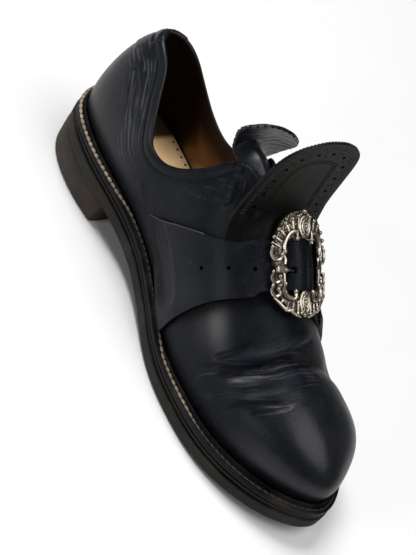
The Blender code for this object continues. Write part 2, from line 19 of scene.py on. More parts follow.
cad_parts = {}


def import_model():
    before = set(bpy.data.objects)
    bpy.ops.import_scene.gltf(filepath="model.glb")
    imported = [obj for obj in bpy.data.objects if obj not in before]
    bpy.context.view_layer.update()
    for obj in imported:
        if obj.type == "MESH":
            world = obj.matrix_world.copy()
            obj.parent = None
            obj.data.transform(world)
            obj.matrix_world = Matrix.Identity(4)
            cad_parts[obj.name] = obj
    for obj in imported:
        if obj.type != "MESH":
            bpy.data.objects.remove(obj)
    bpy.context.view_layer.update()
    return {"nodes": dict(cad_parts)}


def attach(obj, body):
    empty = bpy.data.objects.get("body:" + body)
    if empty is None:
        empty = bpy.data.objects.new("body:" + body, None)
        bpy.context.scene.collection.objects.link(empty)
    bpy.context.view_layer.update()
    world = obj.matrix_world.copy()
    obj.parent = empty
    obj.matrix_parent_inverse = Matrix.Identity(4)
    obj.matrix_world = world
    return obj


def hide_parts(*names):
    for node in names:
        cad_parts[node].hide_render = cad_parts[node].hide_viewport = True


LOG = logging.getLogger("shoe")
MM = 0.001
BODY = "root"
MIDDLE_ACROSS = 1.6
HEEL_BACK = 152.0
MERGE = 0.00001
ANY_ANGLE = 3.1
WALL_ANGLE = 0.9
SHARP_ANGLE = 0.6
CAST_FROM = 0.03
UP = np.array([0.0, 0.0, 1.0])

Place = tuple[float, float, float]
Range = tuple[float, float]
Colour = tuple[float, float, float, float]

# Colour that painted shade darkens leather towards.
FOLD_SHADOW: Colour = (0.002, 0.002, 0.003, 1.0)
# Colour of the painted highlight on wrinkle crests and on the ridge below the main crease.
PAINTED_HIGHLIGHT_COLOUR: Colour = (0.085, 0.087, 0.1, 1.0)
LEATHER_DUST: Colour = (0.16, 0.15, 0.14, 1.0)
RUBBER_DIRT: Colour = (0.13, 0.105, 0.08, 1.0)
THREAD_DUST: Colour = (0.2, 0.18, 0.15, 1.0)


class Wall(Enum):
    """Sides of the upper, by their material number."""

    LEATHER = 0
    LINING = 1


class Punch(Enum):
    """Radii of the holes punched through leather, in mm."""

    LARGE = 1.15
    SMALL = 0.5
    STRAP = 1.2
    SOCK = 1.0


def to_scene(rows: Sequence[Place] | np.ndarray) -> np.ndarray:
    """Turn places on the shoe into places in the scene.

    Args:
        rows: Across, along and height in mm.

    Returns:
        The same places in metres.
    """
    rows = np.asarray(rows, dtype=float)
    return np.stack([rows[..., 0] - MIDDLE_ACROSS, HEEL_BACK - rows[..., 1], rows[..., 2]], axis=-1) * MM


def to_shoe(points: np.ndarray) -> np.ndarray:
    """Turn places in the scene into places on the shoe.

    Args:
        points: Places in metres.

    Returns:
        Across, along and height in mm.
    """
    sizes = np.asarray(points, dtype=float) / MM
    return np.stack([sizes[..., 0] + MIDDLE_ACROSS, HEEL_BACK - sizes[..., 1], sizes[..., 2]], axis=-1)


def ease(values: np.ndarray | float, start: float, end: float) -> np.ndarray:
    """Rise softly from 0 at start to 1 at end.

    Args:
        values: Numbers to ease.
        start: Where the rise starts.
        end: Where it ends.

    Returns:
        The eased numbers.
    """
    share = np.clip((np.asarray(values, dtype=float) - start) / (end - start), 0.0, 1.0)
    return share * share * (3.0 - 2.0 * share)


def band(values: np.ndarray, rise: Range, fall: Range) -> np.ndarray:
    """Rise softly from 0 to 1 over one range and fall back over another.

    Args:
        values: Numbers to ease.
        rise: Where the rise starts and ends.
        fall: Where the fall starts and ends.

    Returns:
        The eased numbers.
    """
    return ease(values, *rise) * (1.0 - ease(values, *fall))


def bell(values: np.ndarray, width: float) -> np.ndarray:
    """Soft peak of 1 at 0 that falls off on both sides over a width."""
    return np.exp(-((values / width) ** 2))


def curve_through(rows: Sequence[Place] | np.ndarray, count: int, closed: bool = False) -> np.ndarray:
    """Lay a smooth curve through some places.

    Args:
        rows: The places.
        count: How many points to return.
        closed: Whether the curve runs back to its start.

    Returns:
        Points at even steps on the curve.
    """
    rows = np.asarray(rows, dtype=float)
    if closed:
        ring = np.vstack([rows[-1:], rows, rows[:2]])
    else:
        ring = np.vstack([2 * rows[:1] - rows[1:2], rows, 2 * rows[-1:] - rows[-2:-1]])
    shares = np.linspace(0.0, 1.0, 16, endpoint=False)[:, None]
    spans = []
    for a, b, c, d in zip(ring, ring[1:], ring[2:], ring[3:]):
        turn = (2 * a - 5 * b + 4 * c - d) * shares**2 + (3 * b - a - 3 * c + d) * shares**3
        spans.append(0.5 * (2 * b + (c - a) * shares + turn))
    dense = np.vstack([*spans, rows[:1] if closed else rows[-1:]])
    lengths = np.concatenate([[0.0], np.cumsum(np.linalg.norm(np.diff(dense, axis=0), axis=1))])
    wanted = np.linspace(0.0, lengths[-1], count, endpoint=not closed)
    return np.stack([np.interp(wanted, lengths, dense[:, k]) for k in range(3)], axis=1)


def path_length(path: np.ndarray) -> float:
    """Length of an open path."""
    return float(np.linalg.norm(np.diff(path, axis=0), axis=1).sum())


def unit(vectors: np.ndarray) -> np.ndarray:
    """Vectors brought to length 1."""
    return vectors / np.maximum(np.linalg.norm(vectors, axis=-1, keepdims=True), 1e-12)


def runs_along(path: np.ndarray, closed: bool = False) -> np.ndarray:
    """Directions along a path.

    Args:
        path: Points of the path.
        closed: Whether the path runs back to its start.

    Returns:
        One direction of length 1 for each point.
    """
    if closed:
        return unit(np.roll(path, -1, axis=0) - np.roll(path, 1, axis=0))
    return unit(np.gradient(path, axis=0))


def gap_to(points: np.ndarray, path: np.ndarray) -> tuple[np.ndarray, np.ndarray]:
    """Measure how far points are from a path.

    Args:
        points: Points to measure.
        path: Closely spaced points of the path.

    Returns:
        The distances, and the share of the path at which each is nearest.
    """
    best = np.full(len(points), np.inf)
    where = np.zeros(len(points))
    for number, spot in enumerate(path):
        gap = ((points - spot) ** 2).sum(axis=1)
        nearer = gap < best
        best[nearer] = gap[nearer]
        where[nearer] = number
    return np.sqrt(best), where / max(len(path) - 1, 1)


def select_only(piece: bpy.types.Object) -> None:
    """Make one piece the only one selected and the active one."""
    bpy.ops.object.select_all(action="DESELECT")
    piece.select_set(True)
    bpy.context.view_layer.objects.active = piece


def fresh(operator: Callable[..., set[str]], **settings: object) -> bpy.types.Object:
    """Make a new piece with one of Blender's operators."""
    bpy.ops.object.select_all(action="DESELECT")
    operator(**settings)
    return bpy.context.view_layer.objects.active


def finish_with(piece: bpy.types.Object, kind: str, **settings: object) -> None:
    """Add a modifier to a piece and apply it.

    Args:
        piece: The piece.
        kind: Blender's name of the modifier.
        **settings: The modifier's settings.
    """
    select_only(piece)
    tool = piece.modifiers.new(kind.title(), kind)
    for name, value in settings.items():
        setattr(tool, name, value)
    bpy.ops.object.modifier_apply(modifier=tool.name)


def refine(piece: bpy.types.Object, levels: int) -> None:
    """Smooth a piece by whole subdivision levels."""
    finish_with(piece, "SUBSURF", levels=levels, render_levels=levels)


def copy_node(node: bpy.types.Object, name: str) -> bpy.types.Object:
    """Copy a frame node as a piece of quads with its doubles merged.

    Args:
        node: The frame's object, which is left as it is.
        name: Name of the new piece.

    Returns:
        The new piece.
    """
    mesh = node.data.copy()
    mesh.name = name
    mesh.materials.clear()
    piece = bpy.data.objects.new(name, mesh)
    bpy.context.scene.collection.objects.link(piece)
    select_only(piece)
    bpy.ops.mesh.customdata_custom_splitnormals_clear()
    bpy.ops.object.mode_set(mode="EDIT")
    bpy.ops.mesh.select_all(action="SELECT")
    bpy.ops.mesh.remove_doubles(threshold=MERGE)
    bpy.ops.mesh.tris_convert_to_quads(face_threshold=ANY_ANGLE, shape_threshold=ANY_ANGLE)
    bpy.ops.object.mode_set(mode="OBJECT")
    return piece


def hold_edges(piece: bpy.types.Object, hold: float) -> None:
    """Crease the sharp edges of a piece, so that smoothing keeps them.

    Args:
        piece: The piece.
        hold: How firmly, up to 1.
    """
    work = bmesh.new()
    work.from_mesh(piece.data)
    layer = work.edges.layers.float.get("crease_edge") or work.edges.layers.float.new("crease_edge")
    for edge in work.edges:
        if edge.is_manifold and edge.calc_face_angle() > SHARP_ANGLE:
            edge[layer] = hold
    work.to_mesh(piece.data)
    work.free()


def smooth_copy(node: bpy.types.Object, name: str, hold: float, levels: int) -> bpy.types.Object:
    """Copy a frame node and smooth the copy, with its sharp edges held.

    Args:
        node: The frame's object, which is left as it is.
        name: Name of the new piece.
        hold: How firmly the edges are held, up to 1.
        levels: Subdivision levels.

    Returns:
        The new piece.
    """
    piece = copy_node(node, name)
    hold_edges(piece, hold)
    refine(piece, levels)
    return piece


def points_of(piece: bpy.types.Object) -> np.ndarray:
    """Vertex places of a piece, in metres."""
    points = np.empty(len(piece.data.vertices) * 3)
    piece.data.vertices.foreach_get("co", points)
    return points.reshape(-1, 3)


def normals_of(piece: bpy.types.Object) -> np.ndarray:
    """Vertex normals of a piece."""
    normals = np.empty(len(piece.data.vertices) * 3)
    piece.data.vertex_normals.foreach_get("vector", normals)
    return normals.reshape(-1, 3)


def move_points(piece: bpy.types.Object, points: np.ndarray) -> None:
    """Give a piece's vertices new places."""
    piece.data.vertices.foreach_set("co", points.ravel())
    piece.data.update()


def mark(piece: bpy.types.Object, name: str, values: np.ndarray) -> None:
    """Store one number for each vertex, for a material to read."""
    layer = piece.data.attributes.new(name, "FLOAT", "POINT")
    layer.data.foreach_set("value", np.asarray(values, dtype=np.float32))


def new_piece(name: str, points: np.ndarray, faces: Iterable[Sequence[int]]) -> bpy.types.Object:
    """Make a piece from points and faces.

    Args:
        name: Name of the piece.
        points: Places in metres.
        faces: Point numbers of each face.

    Returns:
        The piece.
    """
    mesh = bpy.data.meshes.new(name)
    mesh.from_pydata([tuple(p) for p in points], [], [tuple(f) for f in faces])
    mesh.update()
    piece = bpy.data.objects.new(name, mesh)
    bpy.context.scene.collection.objects.link(piece)
    return piece


def join(name: str, pieces: Sequence[bpy.types.Object]) -> bpy.types.Object:
    """Join pieces into one.

    Args:
        name: Name of the joined piece.
        pieces: The pieces, which are used up.

    Returns:
        The joined piece.
    """
    bpy.ops.object.select_all(action="DESELECT")
    for piece in pieces:
        piece.select_set(True)
    bpy.context.view_layer.objects.active = pieces[0]
    if len(pieces) > 1:
        bpy.ops.object.join()
    pieces[0].name = name
    pieces[0].data.name = name
    return pieces[0]


def rod(
    name: str, path: np.ndarray, radii: Sequence[float] | float, closed: bool = False
) -> bpy.types.Object:
    """Sweep a round rod along a path.

    Args:
        name: Name of the piece.
        path: Points in metres.
        radii: Radius in metres, one for all or one for each point.
        closed: Whether the rod is a ring.

    Returns:
        The rod as a mesh.
    """
    curve = bpy.data.curves.new(name, "CURVE")
    curve.dimensions = "3D"
    curve.bevel_depth = 1.0
    curve.bevel_resolution = 2
    curve.use_fill_caps = not closed
    spline = curve.splines.new("POLY")
    spline.points.add(len(path) - 1)
    spline.use_cyclic_u = closed
    for point, place, radius in zip(spline.points, path, np.broadcast_to(radii, len(path))):
        point.co = (*place, 1.0)
        point.radius = radius
    piece = bpy.data.objects.new(name, curve)
    bpy.context.scene.collection.objects.link(piece)
    select_only(piece)
    bpy.ops.object.convert(target="MESH")
    return bpy.context.view_layer.objects.active


def wall_regions(work: bmesh.types.BMesh) -> list[list[bmesh.types.BMFace]]:
    """Split a mesh into walls at its sharp edges.

    Args:
        work: The mesh.

    Returns:
        The faces of each wall.
    """
    left = set(work.faces)
    walls = []
    while left:
        wall = []
        queue = [left.pop()]
        while queue:
            face = queue.pop()
            wall.append(face)
            for edge in face.edges:
                if not edge.is_manifold or edge.calc_face_angle() > WALL_ANGLE:
                    continue
                for other in edge.link_faces:
                    if other in left:
                        left.remove(other)
                        queue.append(other)
        walls.append(wall)
    return walls


def border_loops(work: bmesh.types.BMesh, wall: Sequence[bmesh.types.BMFace]) -> list[np.ndarray]:
    """Find the borders of a wall, in order.

    Args:
        work: The mesh.
        wall: Faces of the wall.

    Returns:
        The places of each border loop.
    """
    inside = set(wall)
    links: dict[bmesh.types.BMVert, list[bmesh.types.BMVert]] = {}
    for edge in work.edges:
        if sum(face in inside for face in edge.link_faces) == 1:
            first, second = edge.verts
            links.setdefault(first, []).append(second)
            links.setdefault(second, []).append(first)
    loops = []
    while links:
        here = next(iter(links))
        loop = []
        while here is not None:
            loop.append(here.co.copy())
            beside = links.pop(here)
            here = next((vert for vert in beside if vert in links), None)
        loops.append(np.array(loop))
    return loops


class Surface:
    """A mesh that other pieces are laid on."""

    def __init__(self, piece: bpy.types.Object) -> None:
        """Keep the mesh of a piece as it is now."""
        mesh = piece.data
        self.tree = BVHTree.FromPolygons([v.co for v in mesh.vertices], [p.vertices for p in mesh.polygons])

    def nearest(self, points: np.ndarray) -> tuple[np.ndarray, np.ndarray]:
        """Find the nearest places on the surface.

        Args:
            points: Points in metres.

        Returns:
            The places and the surface's normals there.
        """
        found = [self.tree.find_nearest(Vector(point)) for point in points]
        return np.array([hit[0] for hit in found]), np.array([hit[1] for hit in found])

    def seen_from(self, points: np.ndarray, towards: np.ndarray) -> tuple[np.ndarray, np.ndarray]:
        """Find the places of points on the side of the surface that looks one way.

        Args:
            points: Points in metres.
            towards: Direction that the side looks.

        Returns:
            The places and the surface's normals there, or the nearest ones where a point misses.
        """
        places, normals = [], []
        aim = Vector(towards)
        for point in points:
            place, normal, _, _ = self.tree.ray_cast(Vector(point) + aim * CAST_FROM, -aim)
            if place is None:
                place, normal, _, _ = self.tree.find_nearest(Vector(point))
            places.append(place)
            normals.append(normal)
        return np.array(places), np.array(normals)


@dataclass(frozen=True)
class Pattern:
    """A small shape that is repeated: points about its own middle, and faces."""

    points: np.ndarray
    faces: list[tuple[int, ...]]

    @classmethod
    def taken_from(cls, piece: bpy.types.Object) -> "Pattern":
        """Take the shape of a piece made for this, and remove the piece.

        Args:
            piece: The piece, with its middle at the origin.

        Returns:
            The pattern.
        """
        points = points_of(piece)
        faces = [tuple(face.vertices) for face in piece.data.polygons]
        bpy.data.objects.remove(piece)
        return cls(points, faces)

    @classmethod
    def bead(cls) -> "Pattern":
        """Make a round bead of radius 1."""
        sphere = bpy.ops.mesh.primitive_uv_sphere_add
        return cls.taken_from(fresh(sphere, segments=12, ring_count=8, radius=1.0))

    @classmethod
    def stitch(cls) -> "Pattern":
        """Make a rounded thread of half length 1, thickest at its middle, with its ends dipped.

        Returns:
            The pattern.
        """
        lying = (0.0, math.pi / 2, 0.0)
        sphere = bpy.ops.mesh.primitive_uv_sphere_add
        piece = fresh(sphere, segments=8, ring_count=6, radius=1.0, rotation=lying)
        bpy.ops.object.transform_apply(location=True, rotation=True, scale=True)
        pattern = cls.taken_from(piece)
        pattern.points[:, 2] -= 0.7 * pattern.points[:, 0] ** 4
        return pattern

    @classmethod
    def pin(cls, sides: int = 10) -> "Pattern":
        """Make a round pin of radius 1 and half length 1, for cutting holes.

        Args:
            sides: Faces round it.

        Returns:
            The pattern.
        """
        cylinder = bpy.ops.mesh.primitive_cylinder_add
        return cls.taken_from(fresh(cylinder, vertices=sides, radius=1.0, depth=2.0))

    def lay(
        self,
        name: str,
        places: np.ndarray,
        runs: np.ndarray,
        ups: np.ndarray,
        sizes: Sequence[float] | np.ndarray,
    ) -> bpy.types.Object:
        """Repeat the shape at many places as one piece.

        Args:
            name: Name of the piece.
            places: Where each copy goes, in metres.
            runs: Direction of each copy's first axis.
            ups: Direction of each copy's third axis.
            sizes: Half sizes along the three axes in metres, for all copies or for each.

        Returns:
            The joined piece.
        """
        count = len(places)
        sizes = np.broadcast_to(np.asarray(sizes, dtype=float), (count, 3))
        third = unit(ups)
        first = unit(runs - (runs * third).sum(axis=1, keepdims=True) * third)
        second = np.cross(third, first)
        axes = np.stack([first, second, third], axis=1) * sizes[:, :, None]
        points = np.einsum("pk,nkc->npc", self.points, axes) + places[:, None, :]
        step = len(self.points)
        faces = [tuple(v + step * n for v in face) for n in range(count) for face in self.faces]
        return new_piece(name, points.reshape(-1, 3), faces)


def cut_away(piece: bpy.types.Object, cutter: bpy.types.Object) -> None:
    """Cut a piece with another one, which is used up."""
    finish_with(piece, "BOOLEAN", operation="DIFFERENCE", solver="EXACT", object=cutter)
    bpy.data.objects.remove(cutter)


def pins(places: np.ndarray, ups: np.ndarray, radius: float, depth: float) -> bpy.types.Object:
    """Make pins that punch round holes.

    Args:
        places: Middles of the holes on the leather, in metres.
        ups: Directions of the holes.
        radius: Radius in mm.
        depth: How deep the holes go, in mm.

    Returns:
        The pins as one piece.
    """
    sideways = np.cross(ups, np.array([0.31, 0.62, 0.72]))
    return Pattern.pin().lay("pins", places, sideways, ups, (radius * MM, radius * MM, depth * MM))


class NodeBench:
    """Short ways to lay out the nodes of one tree."""

    def __init__(self, tree: bpy.types.NodeTree) -> None:
        """Work on one tree."""
        self.tree = tree

    def feed(self, node: bpy.types.Node, inputs: dict[str | int, object]) -> None:
        """Give a node's inputs their values, or link sockets to them.

        Args:
            node: The node.
            inputs: Values or sockets by the input's name or number.
        """
        for name, value in inputs.items():
            if isinstance(value, bpy.types.NodeSocket):
                self.tree.links.new(value, node.inputs[name])
            else:
                node.inputs[name].default_value = value

    def add(
        self, kind: str, inputs: dict[str | int, object] | None = None, **settings: object
    ) -> bpy.types.Node:
        """Add a node.

        Args:
            kind: Blender's name of the node, without its ShaderNode start.
            inputs: Values or sockets for its inputs.
            **settings: Its own settings.

        Returns:
            The node.
        """
        node = self.tree.nodes.new("ShaderNode" + kind)
        for name, value in settings.items():
            setattr(node, name, value)
        self.feed(node, inputs or {})
        return node

    def group(self, tree: bpy.types.NodeTree, **inputs: object) -> bpy.types.Node:
        """Add a shared group with values or sockets for its inputs."""
        return self.add("Group", inputs, node_tree=tree)

    def math(
        self, operation: str, first: object, second: object = 0.0, clamp: bool = False
    ) -> bpy.types.NodeSocket:
        """Add a math node and return its result."""
        return self.add("Math", {0: first, 1: second}, operation=operation, use_clamp=clamp).outputs[0]

    def span(self, value: object, low: float, high: float, to: Range = (0.0, 1.0)) -> bpy.types.NodeSocket:
        """Add a smooth map from one range to another and return its result."""
        inputs = {"Value": value, "From Min": low, "From Max": high, "To Min": to[0], "To Max": to[1]}
        return self.add("MapRange", inputs, interpolation_type="SMOOTHSTEP").outputs["Result"]

    def blend(self, share: object, first: object, second: object) -> bpy.types.NodeSocket:
        """Add a colour mix and return its result."""
        return self.add("Mix", {0: share, 6: first, 7: second}, data_type="RGBA").outputs[2]

    def bump(self, height: object, strength: float, distance: float) -> bpy.types.NodeSocket:
        """Add a bump and return its normal."""
        return self.add("Bump", {"Height": height, "Strength": strength, "Distance": distance}).outputs[0]

    def place(self, scale: Place = (1.0, 1.0, 1.0), turn: Place = (0.0, 0.0, 0.0)) -> bpy.types.NodeSocket:
        """Add object coordinates through a mapping and return them."""
        source = self.add("TexCoord").outputs["Object"]
        return self.add("Mapping", {"Vector": source, "Scale": scale, "Rotation": turn}).outputs["Vector"]

    def noise(
        self, where: object, scale: float, detail: float = 3.0, twist: float = 0.0
    ) -> bpy.types.NodeSocket:
        """Add a noise texture and return its value."""
        inputs = {"Vector": where, "Scale": scale, "Detail": detail, "Roughness": 0.55, "Distortion": twist}
        return self.add("TexNoise", inputs).outputs[0]

    def value(self, name: str) -> bpy.types.NodeSocket:
        """Add a reader of a piece's stored numbers and return it."""
        return self.add("Attribute", attribute_name=name).outputs["Fac"]


class SurfaceEffects:
    """Shader node groups that several finishes share."""

    def __init__(self) -> None:
        """Build each group once."""
        self.grain = self.grain_group()
        self.wrinkles = self.wrinkle_group()
        self.scuffs = self.scuff_group()
        self.dust = self.dust_group()

    @staticmethod
    def start(
        name: str, inputs: dict[str, float | None], outputs: Sequence[str]
    ) -> tuple[bpy.types.NodeTree, NodeBench, bpy.types.Node, bpy.types.Node]:
        """Start a group.

        Args:
            name: Name of the group.
            inputs: Names of its inputs with their values; None is a vector.
            outputs: Names of its outputs, all numbers.

        Returns:
            The group, a bench on it, its input node and its output node.
        """
        group = bpy.data.node_groups.new(name, "ShaderNodeTree")
        for label, value in inputs.items():
            kind = "NodeSocketVector" if value is None else "NodeSocketFloat"
            socket = group.interface.new_socket(label, in_out="INPUT", socket_type=kind)
            if value is not None:
                socket.default_value = value
        for label in outputs:
            group.interface.new_socket(label, in_out="OUTPUT", socket_type="NodeSocketFloat")
        entry = group.nodes.new("NodeGroupInput")
        leave = group.nodes.new("NodeGroupOutput")
        return group, NodeBench(group), entry, leave

    def grain_group(self) -> bpy.types.NodeTree:
        """Pebbled leather grain with fine pores.

        Returns:
            The group.
        """
        inputs = {"Where": None, "Cells": 900.0}
        group, bench, entry, leave = self.start("leather_grain", inputs, ("Height", "Tone"))
        warp = bench.add("TexNoise", {"Vector": entry.outputs[0], "Scale": 160.0, "Detail": 2.0})
        shift = bench.add("VectorMath", {0: warp.outputs["Color"], "Scale": 0.0016}, operation="SCALE")
        moved = {0: entry.outputs[0], 1: shift.outputs[0]}
        where = bench.add("VectorMath", moved, operation="ADD").outputs[0]
        lattice = {"Vector": where, "Scale": entry.outputs[1]}
        cells = bench.add("TexVoronoi", lattice, feature="DISTANCE_TO_EDGE")
        pebble = bench.span(cells.outputs["Distance"], 0.0, 0.28)
        fine = bench.noise(entry.outputs[0], 2600.0, 2.0)
        height = bench.math("ADD", bench.math("MULTIPLY", pebble, 0.75), bench.math("MULTIPLY", fine, 0.25))
        tone = bench.span(bench.noise(entry.outputs[0], 26.0, 4.0), 0.35, 0.68)
        group.links.new(height, leave.inputs[0])
        group.links.new(tone, leave.inputs[1])
        return group

    def wrinkle_group(self) -> bpy.types.NodeTree:
        """Fine wrinkles that run together in one direction.

        Returns:
            The group.
        """
        inputs = {"Where": None, "Lines": 90.0}
        group, bench, entry, leave = self.start("fine_wrinkles", inputs, ("Height",))
        texture = {"Vector": entry.outputs[0], "Scale": entry.outputs[1], "Detail": 3.0, "Distortion": 0.7}
        noise = bench.add("TexNoise", texture).outputs[0]
        ridge = bench.math("ABSOLUTE", bench.math("SUBTRACT", noise, 0.5))
        height = bench.span(ridge, 0.0, 0.09)
        group.links.new(height, leave.inputs[0])
        return group

    def scuff_group(self) -> bpy.types.NodeTree:
        """Short scuff marks in patches.

        Returns:
            The group.
        """
        inputs = {"Where": None, "Marks": 140.0, "Share": 0.5}
        group, bench, entry, leave = self.start("scuff_marks", inputs, ("Mask",))
        marks = {"Vector": entry.outputs[0], "Scale": entry.outputs[1], "Detail": 5.0, "Distortion": 0.4}
        fine = bench.span(bench.add("TexNoise", marks).outputs[0], 0.56, 0.72)
        patch = bench.add("TexNoise", {"Vector": entry.outputs[0], "Scale": 22.0, "Detail": 2.0}).outputs[0]
        patch = bench.span(patch, 0.48, 0.66)
        mask = bench.math("MULTIPLY", bench.math("MULTIPLY", fine, patch), entry.outputs[2], clamp=True)
        group.links.new(mask, leave.inputs[0])
        return group

    def dust_group(self) -> bpy.types.NodeTree:
        """Pale dust, more where a surface looks up.

        Returns:
            The group.
        """
        inputs = {"Where": None, "Share": 0.3}
        group, bench, entry, leave = self.start("settled_dust", inputs, ("Mask",))
        cloud = bench.span(bench.noise(entry.outputs[0], 60.0, 6.0), 0.42, 0.75)
        normal = bench.add("NewGeometry").outputs["Normal"]
        upward = bench.add("SeparateXYZ", {0: normal}).outputs[2]
        mask = bench.math("MULTIPLY", cloud, bench.span(upward, -0.3, 0.9, (0.35, 1.0)))
        group.links.new(bench.math("MULTIPLY", mask, entry.outputs[1], clamp=True), leave.inputs[0])
        return group


def new_material(name: str) -> tuple[bpy.types.Material, NodeBench, bpy.types.Node]:
    """Start a material.

    Args:
        name: Name of the material.

    Returns:
        The material, a bench on its nodes, and its shader.
    """
    material = bpy.data.materials.new(name)
    material.use_nodes = True
    shader = material.node_tree.nodes["Principled BSDF"]
    return material, NodeBench(material.node_tree), shader


def lightened(colour: Colour, factor: float, extra: float = 0.0) -> Colour:
    """Make a colour lighter, with no part over 1.

    Args:
        colour: The colour.
        factor: What each part is multiplied by.
        extra: What is then added to it.

    Returns:
        The lighter colour.
    """
    red, green, blue = (min(1.0, part * factor + extra) for part in colour[:3])
    return red, green, blue, 1.0


@dataclass(frozen=True)
class LeatherFinish:
    """Polished leather with grain, wrinkles, scuffs and dust, and painted shade and painted highlights where
    a piece marks them.
    """

    name: str
    deep: Colour
    worn: Colour
    rough: float = 0.36
    shine: float = 0.06
    coat: float = 0.12
    coat_rough: float = 0.33
    cells: float = 900.0
    grain_high: float = 0.35
    wrinkle_high: float = 0.25
    wrinkle_run: Place = (1.0, 2.6, 1.0)
    wrinkle_lines: float = 70.0
    scuffed: float = 0.35
    dusty: float = 0.03
    uses_painted_shading: bool = False
    painted_shade_share: float = 0.75
    painted_highlight_share: float = 0.45
    polish_and_painted_highlight: bool = False

    def material(self, effects: SurfaceEffects) -> bpy.types.Material:
        """Build the material.

        Args:
            effects: The shared groups.

        Returns:
            The material.
        """
        material, bench, shader = new_material(self.name)
        where = bench.place()
        grain = bench.group(effects.grain, Where=where, Cells=self.cells)
        lines = bench.group(effects.wrinkles, Where=bench.place(self.wrinkle_run), Lines=self.wrinkle_lines)
        scuff = bench.group(effects.scuffs, Where=where, Share=self.scuffed).outputs["Mask"]
        dust = bench.group(effects.dust, Where=where, Share=self.dusty).outputs["Mask"]
        colour = bench.blend(grain.outputs["Tone"], self.deep, self.worn)
        # Painted shading: darker towards FOLD_SHADOW where the mark is below 0, a painted highlight where it
        # is above 0.
        if self.uses_painted_shading:
            painted_shading = bench.value("painted_shading")
            shade = bench.span(painted_shading, -0.1, -1.2, (0.0, self.painted_shade_share))
            colour = bench.blend(shade, colour, FOLD_SHADOW)
            painted_light = bench.span(painted_shading, 0.2, 1.2, (0.0, self.painted_highlight_share))
            colour = bench.blend(painted_light, colour, lightened(self.worn, 2.2))
        # Painted highlight, where the piece marks it.
        if self.polish_and_painted_highlight:
            colour = bench.blend(bench.value("painted_highlight"), colour, PAINTED_HIGHLIGHT_COLOUR)
        colour = bench.blend(scuff, colour, lightened(self.worn, 3.0, 0.01))
        colour = bench.blend(dust, colour, LEATHER_DUST)
        tone_rough = bench.span(grain.outputs["Tone"], 0.0, 1.0, (self.rough - 0.05, self.rough + 0.07))
        rough = bench.math("ADD", tone_rough, bench.math("MULTIPLY", scuff, 0.3), clamp=True)
        rough = bench.math("ADD", rough, bench.math("MULTIPLY", dust, 0.4), clamp=True)
        pebbles = bench.math("MULTIPLY", grain.outputs["Height"], self.grain_high)
        wrinkles = bench.math("MULTIPLY", lines.outputs["Height"], self.wrinkle_high)
        height = bench.math("ADD", pebbles, wrinkles)
        sockets = {
            "Base Color": colour,
            "Roughness": rough,
            "Normal": bench.bump(height, 0.7, 0.0005),
            "Specular IOR Level": self.shine,
            "Coat Weight": bench.value("polish") if self.polish_and_painted_highlight else self.coat,
            "Coat Roughness": self.coat_rough,
        }
        bench.feed(shader, sockets)
        return material


@dataclass(frozen=True)
class RubberFinish:
    """Worn rubber edge with fine moulded lines and dirt."""

    name: str
    deep: Colour
    worn: Colour
    rough: float = 0.55
    shine: float = 0.15
    line_pitch: float = 1.3
    line_high: float = 0.5
    dirty: float = 0.35

    def material(self, effects: SurfaceEffects) -> bpy.types.Material:
        """Build the material.

        Args:
            effects: The shared groups.

        Returns:
            The material.
        """
        material, bench, shader = new_material(self.name)
        where = bench.place()
        blotch = bench.span(bench.noise(where, 45.0, 5.0), 0.34, 0.7)
        scuff = bench.group(effects.scuffs, Where=where, Marks=220.0, Share=0.9).outputs["Mask"]
        dust = bench.group(effects.dust, Where=where, Share=self.dirty).outputs["Mask"]
        colour = bench.blend(blotch, self.deep, self.worn)
        colour = bench.blend(bench.math("MULTIPLY", scuff, 0.6), colour, lightened(self.worn, 1.8))
        colour = bench.blend(dust, colour, RUBBER_DIRT)
        level = bench.math("MULTIPLY", bench.value("level"), 2 * math.pi / self.line_pitch)
        wobble = bench.math("MULTIPLY", bench.noise(where, 90.0, 2.0), 1.4)
        lines = bench.math("SINE", bench.math("ADD", level, wobble))
        lines = bench.math("MULTIPLY", lines, self.line_high * 0.5)
        rough_spots = bench.math("MULTIPLY", bench.noise(where, 700.0, 4.0), 0.6)
        sockets = {
            "Base Color": colour,
            "Roughness": bench.span(blotch, 0.0, 1.0, (self.rough - 0.08, self.rough + 0.12)),
            "Normal": bench.bump(bench.math("ADD", lines, rough_spots), 0.6, 0.0004),
            "Specular IOR Level": self.shine,
        }
        bench.feed(shader, sockets)
        return material


@dataclass(frozen=True)
class SilverFinish:
    """Antiqued silver, bright on what stands proud and dark in the recesses."""

    name: str
    bright: Colour = (0.46, 0.41, 0.34, 1.0)
    dark: Colour = (0.035, 0.028, 0.022, 1.0)
    rough: float = 0.3

    def material(self, effects: SurfaceEffects) -> bpy.types.Material:
        """Build the material.

        Args:
            effects: The shared groups.

        Returns:
            The material.
        """
        material, bench, shader = new_material(self.name)
        where = bench.place()
        spots = bench.noise(where, 900.0, 4.0)
        relief = bench.math("ADD", bench.value("relief"), bench.span(spots, 0.3, 0.7, (-0.22, 0.22)))
        shine = bench.span(relief, 0.22, 0.72)
        colour = bench.blend(shine, self.dark, self.bright)
        dust = bench.group(effects.dust, Where=where, Share=0.12).outputs["Mask"]
        sockets = {
            "Base Color": colour,
            "Roughness": bench.math("ADD", bench.span(shine, 0.0, 1.0, (0.55, self.rough)), dust),
            "Normal": bench.bump(spots, 0.25, 0.0003),
            "Metallic": 1.0,
        }
        bench.feed(shader, sockets)
        return material


